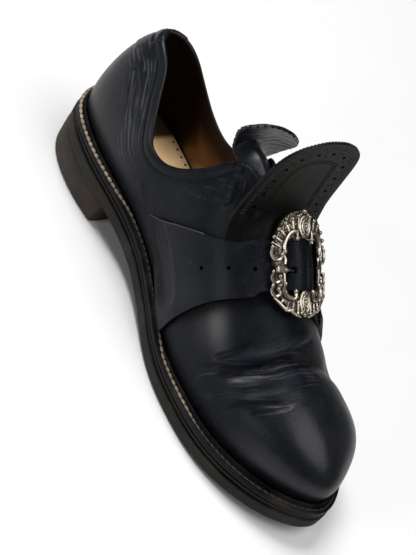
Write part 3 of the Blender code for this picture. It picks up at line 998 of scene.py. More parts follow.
@dataclass(frozen=True)
class ThreadFinish:
    """Waxed thread, pale where it is clean and dark where polish has reached it."""

    name: str
    pale: Colour
    dark: Colour
    twist: float = 1500.0
    by_place: bool = False

    def material(self, effects: SurfaceEffects) -> bpy.types.Material:
        """Build the material.

        Args:
            effects: The shared groups.

        Returns:
            The material.
        """
        material, bench, shader = new_material(self.name)
        where = bench.place()
        strand = bench.noise(bench.place((1.0, 1.0, 1.6), (0.5, 0.3, 0.8)), self.twist, 2.0)
        dirt = bench.span(bench.noise(where, 120.0, 4.0), 0.38, 0.66)
        if self.by_place:
            dirt = bench.math("MAXIMUM", bench.value("dark"), bench.math("MULTIPLY", dirt, 0.6), clamp=True)
        dust = bench.group(effects.dust, Where=where, Share=0.03).outputs["Mask"]
        colour = bench.blend(dirt, self.pale, self.dark)
        sockets = {
            "Base Color": bench.blend(dust, colour, THREAD_DUST),
            "Roughness": bench.span(strand, 0.3, 0.7, (0.5, 0.75)),
            "Normal": bench.bump(strand, 0.7, 0.0003),
        }
        bench.feed(shader, sockets)
        return material


@dataclass
class Finishes:
    """Every material of the shoe."""

    effects: SurfaceEffects
    upper: bpy.types.Material = field(init=False)
    lining: bpy.types.Material = field(init=False)
    strap: bpy.types.Material = field(init=False)
    trim: bpy.types.Material = field(init=False)
    flap: bpy.types.Material = field(init=False)
    tongue: bpy.types.Material = field(init=False)
    raw_edge_highlight: bpy.types.Material = field(init=False)
    sock: bpy.types.Material = field(init=False)
    welt: bpy.types.Material = field(init=False)
    outsole: bpy.types.Material = field(init=False)
    midsole: bpy.types.Material = field(init=False)
    heel: bpy.types.Material = field(init=False)
    silver: bpy.types.Material = field(init=False)
    welt_thread: bpy.types.Material = field(init=False)
    seam_thread: bpy.types.Material = field(init=False)

    def __post_init__(self) -> None:
        """Build the materials."""
        navy = (0.0026, 0.0034, 0.0056, 1.0)
        worn = (0.0056, 0.0068, 0.0104, 1.0)
        looks = {
            "upper": LeatherFinish("upper_leather", navy, worn, uses_painted_shading=True, polish_and_painted_highlight=True),
            "lining": LeatherFinish(
                "lining_leather", (0.24, 0.128, 0.052, 1.0), (0.4, 0.235, 0.108, 1.0), rough=0.6, coat=0.0,
                scuffed=0.0, uses_painted_shading=True, painted_shade_share=0.9,
            ),
            "strap": LeatherFinish("strap_leather", navy, worn, rough=0.34, polish_and_painted_highlight=True),
            "trim": LeatherFinish("trim_leather", navy, worn, rough=0.34),
            # Paler raw edge of the strap: its own colour, and also a painted highlight along the edge.
            "raw_edge_highlight": LeatherFinish(
                "raw_edge_highlight_leather", (0.05, 0.05, 0.054, 1.0), (0.11, 0.11, 0.115, 1.0), rough=0.6, coat=0.0
            ),
            "flap": LeatherFinish(
                "flap_leather", (0.006, 0.0058, 0.0051, 1.0), (0.0138, 0.0134, 0.0117, 1.0), rough=0.42,
                coat=0.04, wrinkle_high=0.12, uses_painted_shading=True,
            ),
            "tongue": LeatherFinish(
                "tongue_leather", (0.008, 0.009, 0.013, 1.0), worn, rough=0.3, coat=0.6, wrinkle_high=0.8,
                wrinkle_run=(0.5, 1.0, 2.2), wrinkle_lines=110.0,
            ),
            "sock": LeatherFinish(
                "insole_leather", (0.76, 0.47, 0.23, 1.0), (0.92, 0.66, 0.4, 1.0), rough=0.55, coat=0.0,
                scuffed=0.2, uses_painted_shading=True, painted_shade_share=0.94,
            ),
            "welt": LeatherFinish(
                "welt_leather", (0.004, 0.004, 0.0045, 1.0), (0.01, 0.0092, 0.0084, 1.0), rough=0.45,
                coat=0.05, dusty=0.12,
            ),
            "outsole": RubberFinish(
                "outsole_rubber", (0.008, 0.007, 0.006, 1.0), (0.017, 0.0145, 0.012, 1.0), dirty=0.2
            ),
            "midsole": RubberFinish(
                "midsole_rubber", (0.004, 0.004, 0.0042, 1.0), (0.009, 0.0085, 0.008, 1.0), dirty=0.12
            ),
            "heel": RubberFinish(
                "heel_rubber", (0.016, 0.0118, 0.009, 1.0), (0.038, 0.029, 0.022, 1.0), line_pitch=3.2,
                line_high=0.25,
            ),
            "silver": SilverFinish("antique_silver"),
            "welt_thread": ThreadFinish(
                "welt_thread", (0.4, 0.31, 0.22, 1.0), (0.007, 0.0065, 0.006, 1.0), by_place=True
            ),
            "seam_thread": ThreadFinish(
                "seam_thread", (0.03, 0.032, 0.036, 1.0), (0.012, 0.013, 0.016, 1.0)
            ),
        }
        for name, look in looks.items():
            setattr(self, name, look.material(self.effects))


def fit(
    piece: bpy.types.Object,
    slot: str,
    *materials: bpy.types.Material,
    nodes: Sequence[str] = (),
    round_all: bool = False,
) -> None:
    """Shade a finished piece smooth, dress it and set it on the frame.

    Args:
        piece: The piece.
        slot: The record's slot for its finish; not used.
        *materials: Its materials, in the order of their numbers.
        nodes: Frame nodes that it stands for.
        round_all: Whether it has no sharp edges.
    """
    select_only(piece)
    if round_all:
        bpy.ops.object.shade_smooth()
    else:
        bpy.ops.object.shade_smooth_by_angle(angle=SHARP_ANGLE)
    numbers = [face.material_index for face in piece.data.polygons]
    piece.data.materials.clear()
    for material in materials:
        piece.data.materials.append(material)
    piece.data.polygons.foreach_set("material_index", numbers)
    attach(piece, BODY)
    if nodes:
        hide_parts(*nodes)
    LOG.info("%s: %d faces", piece.name, len(piece.data.polygons))


@dataclass(frozen=True)
class Crease:
    """A soft trough or ridge laid on the leather."""

    places: tuple[Place, ...]
    lift: float
    reach: float
    fade: float = 0.25
    step: float = 0.4

    def lifts(self, points: np.ndarray) -> np.ndarray:
        """Lift of the leather at some points.

        Args:
            points: Places on the shoe, in mm.

        Returns:
            How far each point moves outwards, in mm.
        """
        rough_length = path_length(np.asarray(self.places))
        path = curve_through(self.places, max(int(rough_length / self.step), 12))
        result = np.zeros(len(points))
        room = 3.5 * self.reach
        near = ((points > path.min(axis=0) - room) & (points < path.max(axis=0) + room)).all(axis=1)
        gap, share = gap_to(points[near], path)
        ends = ease(share, 0.0, self.fade) * ease(1.0 - share, 0.0, self.fade)
        result[near] = self.lift * ends * bell(gap, self.reach)
        return result


@dataclass(frozen=True)
class WrinkleField:
    """Fine wrinkles of one part of the upper: depth, spacing and length in mm, and how strong the painted
    highlight on their crests is.
    """

    deep: float
    spacing: float
    length: float
    crest_highlight: float


BEND_WRINKLES = WrinkleField(0.1, 2.7, 16.0, 0.4)
TOE_WRINKLES = WrinkleField(0.12, 2.2, 14.0, 0.35)
ANKLE_WRINKLES = WrinkleField(0.12, 2.8, 26.0, 0.75)
THROAT_WRINKLES = WrinkleField(0.08, 2.6, 18.0, 0.25)

MAIN_CREASE = (
    (-43.9, 209.3, 35.4), (-41.3, 213.5, 43.4), (-38.0, 216.9, 49.4), (-34.1, 221.4, 53.7),
    (-29.1, 224.6, 57.9), (-23.9, 227.0, 60.9), (-17.8, 228.6, 63.5), (-10.4, 229.0, 65.6),
    (-2.0, 229.4, 66.4), (9.0, 230.2, 64.5), (20.0, 231.5, 59.5), (32.0, 233.0, 50.5),
)
OUTER_DIP = (
    (-10.0, 230.0, 65.0), (5.0, 231.0, 64.5), (18.0, 232.0, 60.0), (30.0, 233.0, 51.5), (36.0, 233.0, 43.0),
    (39.0, 233.0, 34.0),
)
RIDGE_BELOW = (
    (-40.5, 220.5, 43.0), (-36.5, 224.0, 50.0), (-32.0, 227.5, 54.6), (-26.5, 231.0, 58.0),
    (-18.0, 234.4, 61.5), (-6.0, 236.5, 63.5), (8.0, 238.5, 62.0),
)
RIDGE_ABOVE = (
    (-41.5, 209.5, 44.0), (-36.5, 213.5, 52.8), (-30.0, 218.0, 59.5), (-20.0, 221.5, 65.5),
    (-6.0, 221.0, 69.3), (9.0, 217.5, 68.5), (21.0, 214.5, 64.5),
)
UPPER_CREASE = (
    (-40.9, 207.7, 45.6), (-38.0, 209.7, 51.1), (-34.0, 211.9, 56.6), (-30.5, 212.6, 60.2),
    (-27.7, 212.8, 62.8), (-23.4, 214.1, 65.7),
)
TOE_CREASE = (
    (-43.8, 231.2, 27.1), (-41.7, 235.8, 37.1), (-37.7, 238.3, 44.8), (-32.5, 242.3, 50.6),
    (-26.4, 246.3, 55.1), (-18.5, 249.8, 58.8), (-4.7, 251.2, 61.3), (12.9, 250.4, 58.9),
)
TOE_RIDGE = (
    (-38.0, 234.0, 46.0), (-32.0, 238.0, 52.5), (-25.0, 241.5, 57.5), (-14.0, 244.5, 61.5),
    (0.0, 245.0, 63.0),
)
SECOND_TOE_CREASE = ((-35.6, 244.4, 46.3), (-31.3, 247.7, 50.7), (-25.8, 250.3, 54.8), (-15.9, 252.3, 59.5))
STRAP_ROOT_RIDGE = ((-33.1, 118.6, 46.8), (-35.1, 132.9, 44.6), (-39.5, 152.3, 39.5), (-42.9, 166.9, 30.9))
ANKLE_CREASES = (
    ((-17.2, 30.7, 95.9), (-21.1, 49.1, 88.9), (-26.2, 63.2, 77.4), (-28.6, 68.6, 69.8)),
    ((-20.2, 32.0, 90.0), (-23.6, 47.0, 83.0), (-27.8, 58.0, 73.5), (-29.8, 63.0, 65.0)),
    ((-22.5, 33.0, 85.0), (-25.8, 45.0, 78.0), (-29.0, 53.0, 70.0)),
)
THROAT_CREASES = (
    ((-23.4, 126.5, 93.6), (-21.8, 133.9, 97.0), (-18.7, 141.1, 99.9)),
    ((-25.4, 124.0, 88.6), (-24.4, 133.0, 92.0), (-22.0, 141.0, 95.5)),
)
# Line under the strap's front edge, beside which a painted shadow lies on the vamp.
PAINTED_SHADOW_UNDER_STRAP = (
    (-41.3, 178.1, 44.7), (-39.7, 179.7, 51.6), (-37.4, 181.8, 57.9), (-34.3, 184.2, 63.6),
    (-29.9, 186.9, 69.2), (-24.7, 189.9, 74.1), (-16.0, 194.0, 78.5),
)
VAMP_SHEEN = (-37.0, 192.5, 57.0)
UPPER_CREASES = (
    Crease(MAIN_CREASE, -2.2, 3.2),
    Crease(OUTER_DIP, -2.6, 7.0),
    Crease(RIDGE_BELOW, 1.3, 3.6),
    Crease(RIDGE_ABOVE, 1.3, 3.4),
    Crease(UPPER_CREASE, -0.8, 1.6),
    Crease(((-8.0, 224.1, 67.7), (2.3, 222.3, 68.3), (15.8, 219.3, 65.5)), -0.7, 1.4),
    Crease(((-43.3, 208.3, 38.4), (-40.8, 211.0, 45.1), (-37.3, 214.0, 51.2)), -0.6, 1.3),
    Crease(TOE_CREASE, -0.7, 1.7),
    Crease(TOE_RIDGE, 0.6, 3.0),
    Crease(SECOND_TOE_CREASE, -0.7, 1.1),
    Crease(STRAP_ROOT_RIDGE, 0.5, 2.5),
    Crease(((-30.0, 87.8, 55.1), (-29.6, 98.5, 47.6), (-29.2, 106.8, 42.9)), 0.5, 2.0),
    Crease(ANKLE_CREASES[0], -0.45, 1.1),
    Crease(ANKLE_CREASES[1], -0.4, 1.1),
    Crease(ANKLE_CREASES[2], -0.35, 1.2),
    Crease(THROAT_CREASES[0], -0.4, 0.9),
    Crease(THROAT_CREASES[1], -0.35, 0.9),
)


@dataclass
class Upper:
    """The hollow leather upper with its lining, collar edge, overlays and creases."""

    node: bpy.types.Object
    smooth_levels: int = 2
    edge_hold: float = 0.3
    fine_from: float = 196.0
    bent: Range = (206.0, 258.0)
    bent_to: float = 12.0
    bent_above: float = 34.0
    ankle_to: float = 84.0
    ankle_band: Range = (5.0, 30.0)
    ankle_side: float = 2.0
    throat_from: float = 106.0
    throat_band: float = 22.0
    collar_band: float = 9.0
    roll_middle: float = 2.6
    roll_high: float = 0.45
    roll_reach: float = 2.0
    seam_in: float = 6.2
    seam_deep: float = 0.35
    seam_reach: float = 1.1
    sway_high: float = 0.25
    sway_above: Range = (22.0, 34.0)
    piping_to: float = 148.0
    piping_radius: float = 0.45
    back_tab: Range = (86.0, 0.36)
    back_tab_front: Place = (21.7, 91.8, 0.531)
    facing: tuple[Place, ...] = ((-12.0, 127.8, 112.0), (-16.0, 133.7, 105.0), (-20.0, 139.6, 98.0))
    facing_half: float = 2.75
    overlay_high: float = 0.7
    wrinkle_width: float = 0.19
    crest_beside: float = 0.36
    # Reach of the painted shadow under the strap, and the band above the foot that gets painted shade.
    strap_shade_reach: float = 4.5
    foot_shade: Range = (5.0, 15.0)
    # Where the lining gets painted shade, high up and at the heel, and painted light, on its low band.
    lining_dark_above: Range = (40.0, 72.0)
    lining_dark_to: Range = (46.0, 80.0)
    lining_pale_to: Range = (37.0, 48.0)
    crest_across: float = -34.0
    crest_reach: float = 7.0
    sheen_reach: float = 13.0
    polish_all: float = 0.06
    polish_heel: float = 0.35
    polish_toe: float = 0.5
    polish_vamp: float = 0.6
    heel_to: Range = (60.0, 105.0)
    heel_above: Range = (28.0, 50.0)
    toe_from: Range = (236.0, 272.0)
    collar: np.ndarray = field(init=False)
    foot: np.ndarray = field(init=False)
    piece: bpy.types.Object = field(init=False)

    def build(self, finishes: Finishes) -> Surface:
        """Build and dress the upper.

        Args:
            finishes: The shoe's materials.

        Returns:
            The finished surface, for what lies on it.
        """
        self.piece = copy_node(self.node, "upper_leather")
        self.part_walls()
        hold_edges(self.piece, self.edge_hold)
        refine(self.piece, self.smooth_levels)
        self.split(self.fine(points_of(self.piece)))
        self.split(self.finest(points_of(self.piece)))
        self.crease()
        fit(self.piece, "upper_leather", finishes.upper, finishes.lining, nodes=["upper"], round_all=True)
        surface = Surface(self.piece)
        self.pipe(surface, finishes)
        return surface

    def part_walls(self) -> None:
        """Tell the lining from the outer leather, and find the collar's edge and the lower edge."""
        work = bmesh.new()
        work.from_mesh(self.piece.data)
        walls = sorted(wall_regions(work), key=lambda wall: -sum(face.calc_area() for face in wall))
        middle = Vector((0.0, 0.0, 0.06))

        def outwards(wall: list[bmesh.types.BMFace]) -> float:
            """Tell how much a wall looks away from the foot."""
            away = [(face.calc_center_median() - middle).dot(face.normal) for face in wall]
            return sum(part * face.calc_area() for part, face in zip(away, wall))

        outer, inner = sorted(walls[:2], key=outwards, reverse=True)
        for wall in walls:
            low = all(face.normal.z < -0.5 for face in wall)
            side = Wall.LINING if wall is inner or low else Wall.LEATHER
            for face in wall:
                face.material_index = side.value
        loops = sorted(border_loops(work, outer), key=len)[-2:]
        self.foot, self.collar = sorted(loops, key=lambda loop: loop[:, 2].mean())
        work.to_mesh(self.piece.data)
        work.free()

    def from_collar(self, points: np.ndarray) -> tuple[np.ndarray, np.ndarray]:
        """Measure points from the collar's edge.

        Args:
            points: Places in metres.

        Returns:
            How far each is from the edge, and how far round it, in mm.
        """
        edge = curve_through(self.collar, 900, closed=True)
        gap, share = gap_to(points, edge)
        return gap / MM, share * path_length(edge) / MM

    def fine(self, points: np.ndarray) -> np.ndarray:
        """Tell where the leather needs a fine mesh: the toe, the collar's edge, the throat and the wrinkles.

        Args:
            points: Places in metres.

        Returns:
            Whether each point is there.
        """
        across, along, _ = to_shoe(points).T
        gap, _ = self.from_collar(points)
        throat = (along > self.throat_from) & (gap < self.throat_band) & (across < 0.0)
        return (along > self.fine_from) | (gap < self.collar_band) | throat | self.finest(points)

    def finest(self, points: np.ndarray) -> np.ndarray:
        """Tell where fine wrinkles need the finest mesh.

        Args:
            points: Places in metres.

        Returns:
            Whether each point is there.
        """
        across, along, high = to_shoe(points).T
        gap, _ = self.from_collar(points)
        bent = (along > self.bent[0]) & (along < self.bent[1])
        bent &= (across < self.bent_to) & (high > self.bent_above)
        ankle = (gap > self.ankle_band[0]) & (gap < self.ankle_band[1])
        ankle &= (along < self.ankle_to) & (across < self.ankle_side)
        return bent | ankle

    def split(self, wanted: np.ndarray) -> None:
        """Split the outer leather finer round some of its points.

        Args:
            wanted: Whether each point is one of them.
        """
        select_only(self.piece)
        bpy.ops.object.mode_set(mode="EDIT")
        bpy.ops.mesh.select_mode(type="FACE")
        bpy.ops.mesh.select_all(action="DESELECT")
        bpy.ops.object.mode_set(mode="OBJECT")
        for face in self.piece.data.polygons:
            leather = face.material_index == Wall.LEATHER.value
            face.select = bool(leather and wanted[list(face.vertices)].any())
        bpy.ops.object.mode_set(mode="EDIT")
        bpy.ops.mesh.subdivide(number_cuts=1, smoothness=1.0)
        bpy.ops.object.mode_set(mode="OBJECT")

    def crease(self) -> None:
        """Lay the collar's lines, the overlays and the creases of wear, and mark the painted shade, the
        painted highlights and the polish.
        """
        points = points_of(self.piece)
        normals = normals_of(self.piece)
        sizes = to_shoe(points)
        leather = np.zeros(len(points), dtype=bool)
        lining = np.zeros(len(points), dtype=bool)
        for face in self.piece.data.polygons:
            side = leather if face.material_index == Wall.LEATHER.value else lining
            side[list(face.vertices)] = True
        leather &= ~lining
        spots = sizes[leather]
        across, along, high = spots.T
        gap, run = self.from_collar(points[leather])
        worn = sum(crease.lifts(spots) for crease in UPPER_CREASES)
        wrinkles, crest_highlight = self.wrinkles(spots, gap, run)
        outward = ease(-np.abs(normals[leather][:, 2]), -0.95, -0.6)
        seam = -outward * self.seam_deep * bell(gap - self.seam_in, self.seam_reach)
        roll = outward * self.roll_high * bell(gap - self.roll_middle, self.roll_reach)
        sway = self.sway_high * np.sin(along / 17.0 + 1.3) * np.sin(high / 11.0 + across / 23.0)
        sway *= ease(high, *self.sway_above)
        lifts = np.zeros(len(points))
        lifts[leather] = worn + wrinkles + seam + roll + self.overlays(spots) + sway
        lifts[lining] = -sum(crease.lifts(sizes[lining]) for crease in UPPER_CREASES)
        # Painted shade in a band above the foot and a painted shadow under the strap's front edge, where the
        # coat is also less.
        foot_gap, _ = gap_to(points[leather], curve_through(self.foot, 900, closed=True))
        clear = ease(foot_gap / MM, *self.foot_shade)
        strap_gap, _ = gap_to(spots, curve_through(PAINTED_SHADOW_UNDER_STRAP, 120))
        shade = bell(strap_gap, self.strap_shade_reach)
        # Painted shading: darker in crease and wrinkle troughs and the seam groove, lighter on their ridges;
        # the lining gets its own painted shade and light.
        painted_shading = np.zeros(len(points))
        painted_shading[leather] = worn + 2.5 * wrinkles + 2.0 * seam - (1.0 - clear) - 1.6 * shade
        painted_shading[lining] = self.lining_painted_shading(sizes[lining])
        # Painted highlight on the ridge just below the main crease on the inner side, which also gets more
        # coat.
        ahead = along - np.interp(across, *np.array(MAIN_CREASE).T[:2])
        crest = ease(worn, 0.0, 1.3) * ease(ahead, 1.0, 4.0)
        crest *= bell(across - self.crest_across, self.crest_reach)
        painted_highlight = np.zeros(len(points))
        painted_highlight[leather] = np.clip(crest_highlight + 0.6 * crest, 0.0, 1.0)
        polish = np.zeros(len(points))
        polish[leather] = np.clip(clear * (1.0 - shade) * (self.polish(spots) + 0.9 * crest), 0.0, 1.0)
        move_points(self.piece, points + normals * lifts[:, None] * MM)
        mark(self.piece, "painted_shading", painted_shading)
        mark(self.piece, "polish", polish)
        mark(self.piece, "painted_highlight", painted_highlight)

    def lining_painted_shading(self, spots: np.ndarray) -> np.ndarray:
        """Painted shade and light of the lining: painted shade high up and at the heel, and a painted pool of
        light low down in front of it.

        Args:
            spots: Places on the shoe, in mm.

        Returns:
            Marks below 0 for dark and above 0 for pale.
        """
        _, along, high = spots.T
        deep = np.maximum(ease(high, *self.lining_dark_above), 1.0 - ease(along, *self.lining_dark_to))
        low = (1.0 - ease(high, *self.lining_pale_to)) * (1.0 - deep)
        return 1.2 * low - 1.3 * deep

    def pipe(self, surface: Surface, finishes: Finishes) -> None:
        """Lay the thin piping into the seam under the collar's edge.

        Args:
            surface: The finished upper.
            finishes: The shoe's materials.
        """
        edge = curve_through(self.collar, 360, closed=True)
        edge = np.roll(edge, -int(np.argmax(to_shoe(edge)[:, 1])), axis=0)
        edge = edge[to_shoe(edge)[:, 1] < self.piping_to]
        runs = runs_along(edge)
        down = unit(runs * runs[:, 2:] - UP)
        out = np.cross(runs, down)
        if ((edge - edge.mean(axis=0)) * out).sum() < 0:
            out = -out
        _, ups = surface.nearest(edge + (4.0 * down + 2.0 * out) * MM)
        drop = np.cross(runs, ups)
        drop *= np.sign((drop * down).sum(axis=1))[:, None]
        line, _ = surface.nearest(edge + (self.seam_in * unit(drop) + ups) * MM)
        piece = rod("collar_piping", curve_through(line[::4], 400), self.piping_radius * MM)
        fit(piece, "upper_leather", finishes.trim, round_all=True)

    def overlays(self, spots: np.ndarray) -> np.ndarray:
        """Height of the small tab at the back of the collar and of the strip at the throat.

        Args:
            spots: Places on the shoe, in mm.

        Returns:
            How far the leather moves outwards, in mm.
        """
        above = spots[:, 2] - self.back_tab[0] - self.back_tab[1] * np.abs(spots[:, 0])
        along, height, slope = self.back_tab_front
        behind = along + slope * (spots[:, 2] - height) - spots[:, 1]
        tab = ease(above, -0.4, 0.4) * ease(behind, -0.4, 0.4)
        gap, _ = gap_to(spots, curve_through(self.facing, 60))
        strip = ease(self.facing_half - gap, -0.35, 0.35)
        return self.overlay_high * np.maximum(tab, strip)

    def wrinkles(self, spots: np.ndarray, gap: np.ndarray, run: np.ndarray) -> tuple[np.ndarray, np.ndarray]:
        """Fine wrinkles round the bend of the vamp, at the ankle and at the throat.

        Args:
            spots: Places on the shoe, in mm.
            gap: Distance from the collar's edge, in mm.
            run: Distance round the collar, in mm.

        Returns:
            How far the leather moves outwards, in mm, and how strong the painted highlight on the crests is.
        """
        across, along, high = spots.T
        ahead = along - np.interp(across, *np.array(MAIN_CREASE).T[:2])
        past = along - np.interp(across, *np.array(TOE_CREASE).T[:2])
        bend = bell(ahead - 4.0, 10.0) * ease(high, 26.0, 40.0) * (1.0 - ease(across, 4.0, 18.0))
        toe = bell(past, 5.5) * bell(across + 25.0, 13.0)
        ankle = band(gap, (5.5, 9.0), (19.0, 31.0)) * band(along, (8.0, 22.0), (60.0, 84.0))
        throat = band(gap, (6.5, 9.0), (16.0, 30.0)) * ease(along, 106.0, 122.0) * (across < 0.0)
        zones = (
            (BEND_WRINKLES, bend, ahead, across),
            (TOE_WRINKLES, toe, past, across),
            (ANKLE_WRINKLES, ankle, gap, run),
            (THROAT_WRINKLES, throat, gap + 0.5 * run, run),
        )
        lifts = np.zeros(len(spots))
        crest_highlight = np.zeros(len(spots))
        for kind, zone, over, run_on in zones:
            lines = self.lines(zone, over / kind.spacing, run_on / kind.length)
            lifts += kind.deep * zone * lines
            crest_highlight += kind.crest_highlight * zone * np.clip(lines, 0.0, 1.0)
        return lifts, crest_highlight

    def lines(self, zone: np.ndarray, across: np.ndarray, along: np.ndarray) -> np.ndarray:
        """Long troughs with a crest beside them, that wander and break off.

        Args:
            zone: Where they show, from 0 to 1.
            across: Places across the troughs, in their spacings.
            along: Places along the troughs, in their lengths.

        Returns:
            Heights from -1 to 1.
        """
        near = np.flatnonzero(zone > 0.02)
        sway = np.array([noise.noise(Vector((a / 3.0, b, 3.7))) for a, b in zip(across[near], along[near])])
        phase = across[near] + 0.8 * sway
        number = np.round(phase)
        breaks = np.array([noise.noise(Vector((1.9 * n, 1.6 * b, 8.1))) for n, b in zip(number, along[near])])
        beside = phase - self.crest_beside
        trough = bell(phase - number, self.wrinkle_width)
        crest = bell(beside - np.round(beside), self.wrinkle_width)
        result = np.zeros(len(zone))
        result[near] = (crest - trough) * ease(breaks, -0.12, 0.2)
        return result

    def polish(self, spots: np.ndarray) -> np.ndarray:
        """Weight of the polish: more on the heel, the toe and the bulge before the strap.

        Args:
            spots: Places on the shoe, in mm.

        Returns:
            The weights.
        """
        _, along, high = spots.T
        heel = self.polish_heel * (1.0 - ease(along, *self.heel_to)) * ease(high, *self.heel_above)
        toe = self.polish_toe * ease(along, *self.toe_from)
        sheen_gap = np.linalg.norm(spots - np.array(VAMP_SHEEN), axis=1)
        vamp = self.polish_vamp * bell(sheen_gap, self.sheen_reach)
        return self.polish_all + np.maximum.reduce([heel, toe, vamp])


@dataclass
class SeatLine:
    """Height of the welt's seat along the shoe, read from the middle layer of the sole."""

    node: bpy.types.Object
    steps: int = 90
    along: np.ndarray = field(init=False)
    height: np.ndarray = field(init=False)

    def __post_init__(self) -> None:
        """Read the seat from the layer's highest points."""
        sizes = to_shoe(points_of(self.node))
        edges = np.linspace(sizes[:, 1].min(), sizes[:, 1].max(), self.steps)
        self.along, self.height = [], []
        for low, high in zip(edges, edges[1:]):
            inside = (sizes[:, 1] >= low) & (sizes[:, 1] <= high)
            if inside.any():
                self.along.append((low + high) / 2)
                self.height.append(sizes[inside, 2].max())
        self.along, self.height = np.array(self.along), np.array(self.height)

    def level(self, points: np.ndarray) -> np.ndarray:
        """Height of points above the seat, in mm."""
        sizes = to_shoe(points)
        return sizes[:, 2] - np.interp(sizes[:, 1], self.along, self.height)


@dataclass
class Sole:
    """Outsole, heel, middle layer and the stitched welt."""

    nodes: dict[str, bpy.types.Object]
    smooth_levels: int = 2
    edge_hold: float = 0.85
    stitch_pitch: float = 4.3
    stitch_half: Place = (2.35, 0.6, 0.5)
    heel_stitch_wider: float = 1.9
    stitch_inset: tuple[Range, ...] = ((0, 1.2), (40, 1.5), (120, 2.2), (250, 2.4), (304, 2.0))
    stitch_high: float = 0.2
    wide_to: Range = (60.0, 130.0)
    pale_to: Range = (55.0, 115.0)
    ball_from: Range = (168.0, 185.0)
    ball_to: Range = (214.0, 240.0)
    ball_share: float = 0.6
    darkest: float = 0.95

    def build(self, finishes: Finishes) -> None:
        """Build and dress the layers and the welt's stitches.

        Args:
            finishes: The shoe's materials.
        """
        seat = SeatLine(self.nodes["midsole"])
        layers = (
            ("outsole", "outsole_rubber", finishes.outsole),
            ("heel", "heel_rubber", finishes.heel),
            ("midsole", "midsole_rubber", finishes.midsole),
            ("welt", "welt_leather", finishes.welt),
        )
        made = {}
        for node, slot, finish in layers:
            piece = smooth_copy(self.nodes[node], slot, self.edge_hold, self.smooth_levels)
            mark(piece, "level", seat.level(points_of(piece)))
            fit(piece, slot, finish, nodes=[node])
            made[node] = piece
        self.stitch_welt(Surface(made["welt"]), finishes)

    def stitch_welt(self, welt: Surface, finishes: Finishes) -> None:
        """Sew the thick thread round the welt.

        Args:
            welt: The finished welt.
            finishes: The shoe's materials.
        """
        work = bmesh.new()
        work.from_mesh(self.nodes["midsole"].data)
        bmesh.ops.remove_doubles(work, verts=work.verts, dist=MERGE)
        top = [wall for wall in wall_regions(work) if sum(f.normal.z * f.calc_area() for f in wall) > 0]
        top = max(top, key=lambda wall: sum(f.normal.z * f.calc_area() for f in wall))
        edge = max(border_loops(work, top), key=len)
        work.free()
        ring = curve_through(edge, 900, closed=True)
        runs = runs_along(ring, closed=True)
        inward = np.cross(runs, UP)
        if ((ring.mean(axis=0) - ring) * inward).sum() < 0:
            inward = -inward
        inset = np.interp(to_shoe(ring)[:, 1], *np.array(self.stitch_inset).T)
        line = ring + unit(inward) * inset[:, None] * MM
        length = path_length(np.vstack([line, line[:1]]))
        line = curve_through(line, int(length / (self.stitch_pitch * MM)), closed=True)
        places, ups = welt.seen_from(line, UP)
        ups = unit(ups * 0.4 + UP * 0.6)
        heel, ball = self.clean_parts(to_shoe(line), self.wide_to)
        wider = 1.0 + (self.heel_stitch_wider - 1.0) * np.maximum(heel, ball)
        sizes = np.array(self.stitch_half) * np.stack([np.ones(len(line)), wider, wider], axis=1) * MM
        runs = runs_along(line, closed=True)
        piece = Pattern.stitch().lay("welt_stitches", places + ups * self.stitch_high * MM, runs, ups, sizes)
        heel, ball = self.clean_parts(to_shoe(points_of(piece)), self.pale_to)
        mark(piece, "dark", self.darkest * (1.0 - np.clip(heel + ball, 0.0, 1.0)))
        fit(piece, "welt_leather", finishes.welt_thread, round_all=True)

    def clean_parts(self, spots: np.ndarray, heel_to: Range) -> tuple[np.ndarray, np.ndarray]:
        """Tell where the welt's thread is wide and clean: round the heel, and less so by the ball.

        Args:
            spots: Places on the shoe, in mm.
            heel_to: Where the heel's part fades out.

        Returns:
            The shares of the heel's part and of the ball's part.
        """
        across, along, _ = spots.T
        ball = self.ball_share * band(along, self.ball_from, self.ball_to) * (across < 0)
        return 1.0 - ease(along, *heel_to), ball


@dataclass
class Insole:
    """The tan insole with its rows of punched dots."""

    node: bpy.types.Object
    dots_along: tuple[float, ...] = (51.5, 57.4, 63.3, 69.2, 75.1)
    dots_across: float = 24.0
    dots_middle: float = 1.5
    clear_above: float = 42.0
    punch_deep: float = 1.6
    # Painted shadow over the heel seat, and painted shade inside the punched dots.
    dark_to: Range = (43.5, 51.5)
    dark: float = -1.3
    hole_painted_shade: float = -2.5
    edge_hold: float = 0.7
    smooth_levels: int = 2

    def build(self, finishes: Finishes) -> None:
        """Build and dress the insole.

        Args:
            finishes: The shoe's materials.
        """
        piece = smooth_copy(self.node, "insole_sock", self.edge_hold, self.smooth_levels)
        rows = [self.dots_middle + side * self.dots_across for side in (-1, 1)]
        above = [(across, along, self.clear_above) for across in rows for along in self.dots_along]
        places, ups = Surface(piece).seen_from(to_scene(above), UP)
        cut_away(piece, pins(places, ups, Punch.SOCK.value, self.punch_deep))
        mark(piece, "painted_shading", self.tone(points_of(piece), places))
        fit(piece, "insole_leather", finishes.sock, nodes=["insole"])

    def tone(self, points: np.ndarray, dots: np.ndarray) -> np.ndarray:
        """Painted shade of the insole: a painted shadow over the heel seat, and painted shade inside the
        punched dots.

        Args:
            points: Places in metres.
            dots: Middles of the dots, in metres.

        Returns:
            Marks below 0 for dark.
        """
        painted_shading = self.dark * (1.0 - ease(to_shoe(points)[:, 1], *self.dark_to))
        apart = np.linalg.norm(points[:, None, :2] - dots[None, :, :2], axis=2)
        below = dots[apart.argmin(axis=1), 2] - points[:, 2]
        inside = apart.min(axis=1) < 2.0 * Punch.SOCK.value * MM
        inside &= (below > 0.4 * self.punch_deep * MM) & (below < 1.5 * self.punch_deep * MM)
        painted_shading[inside] = self.hole_painted_shade
        return painted_shading


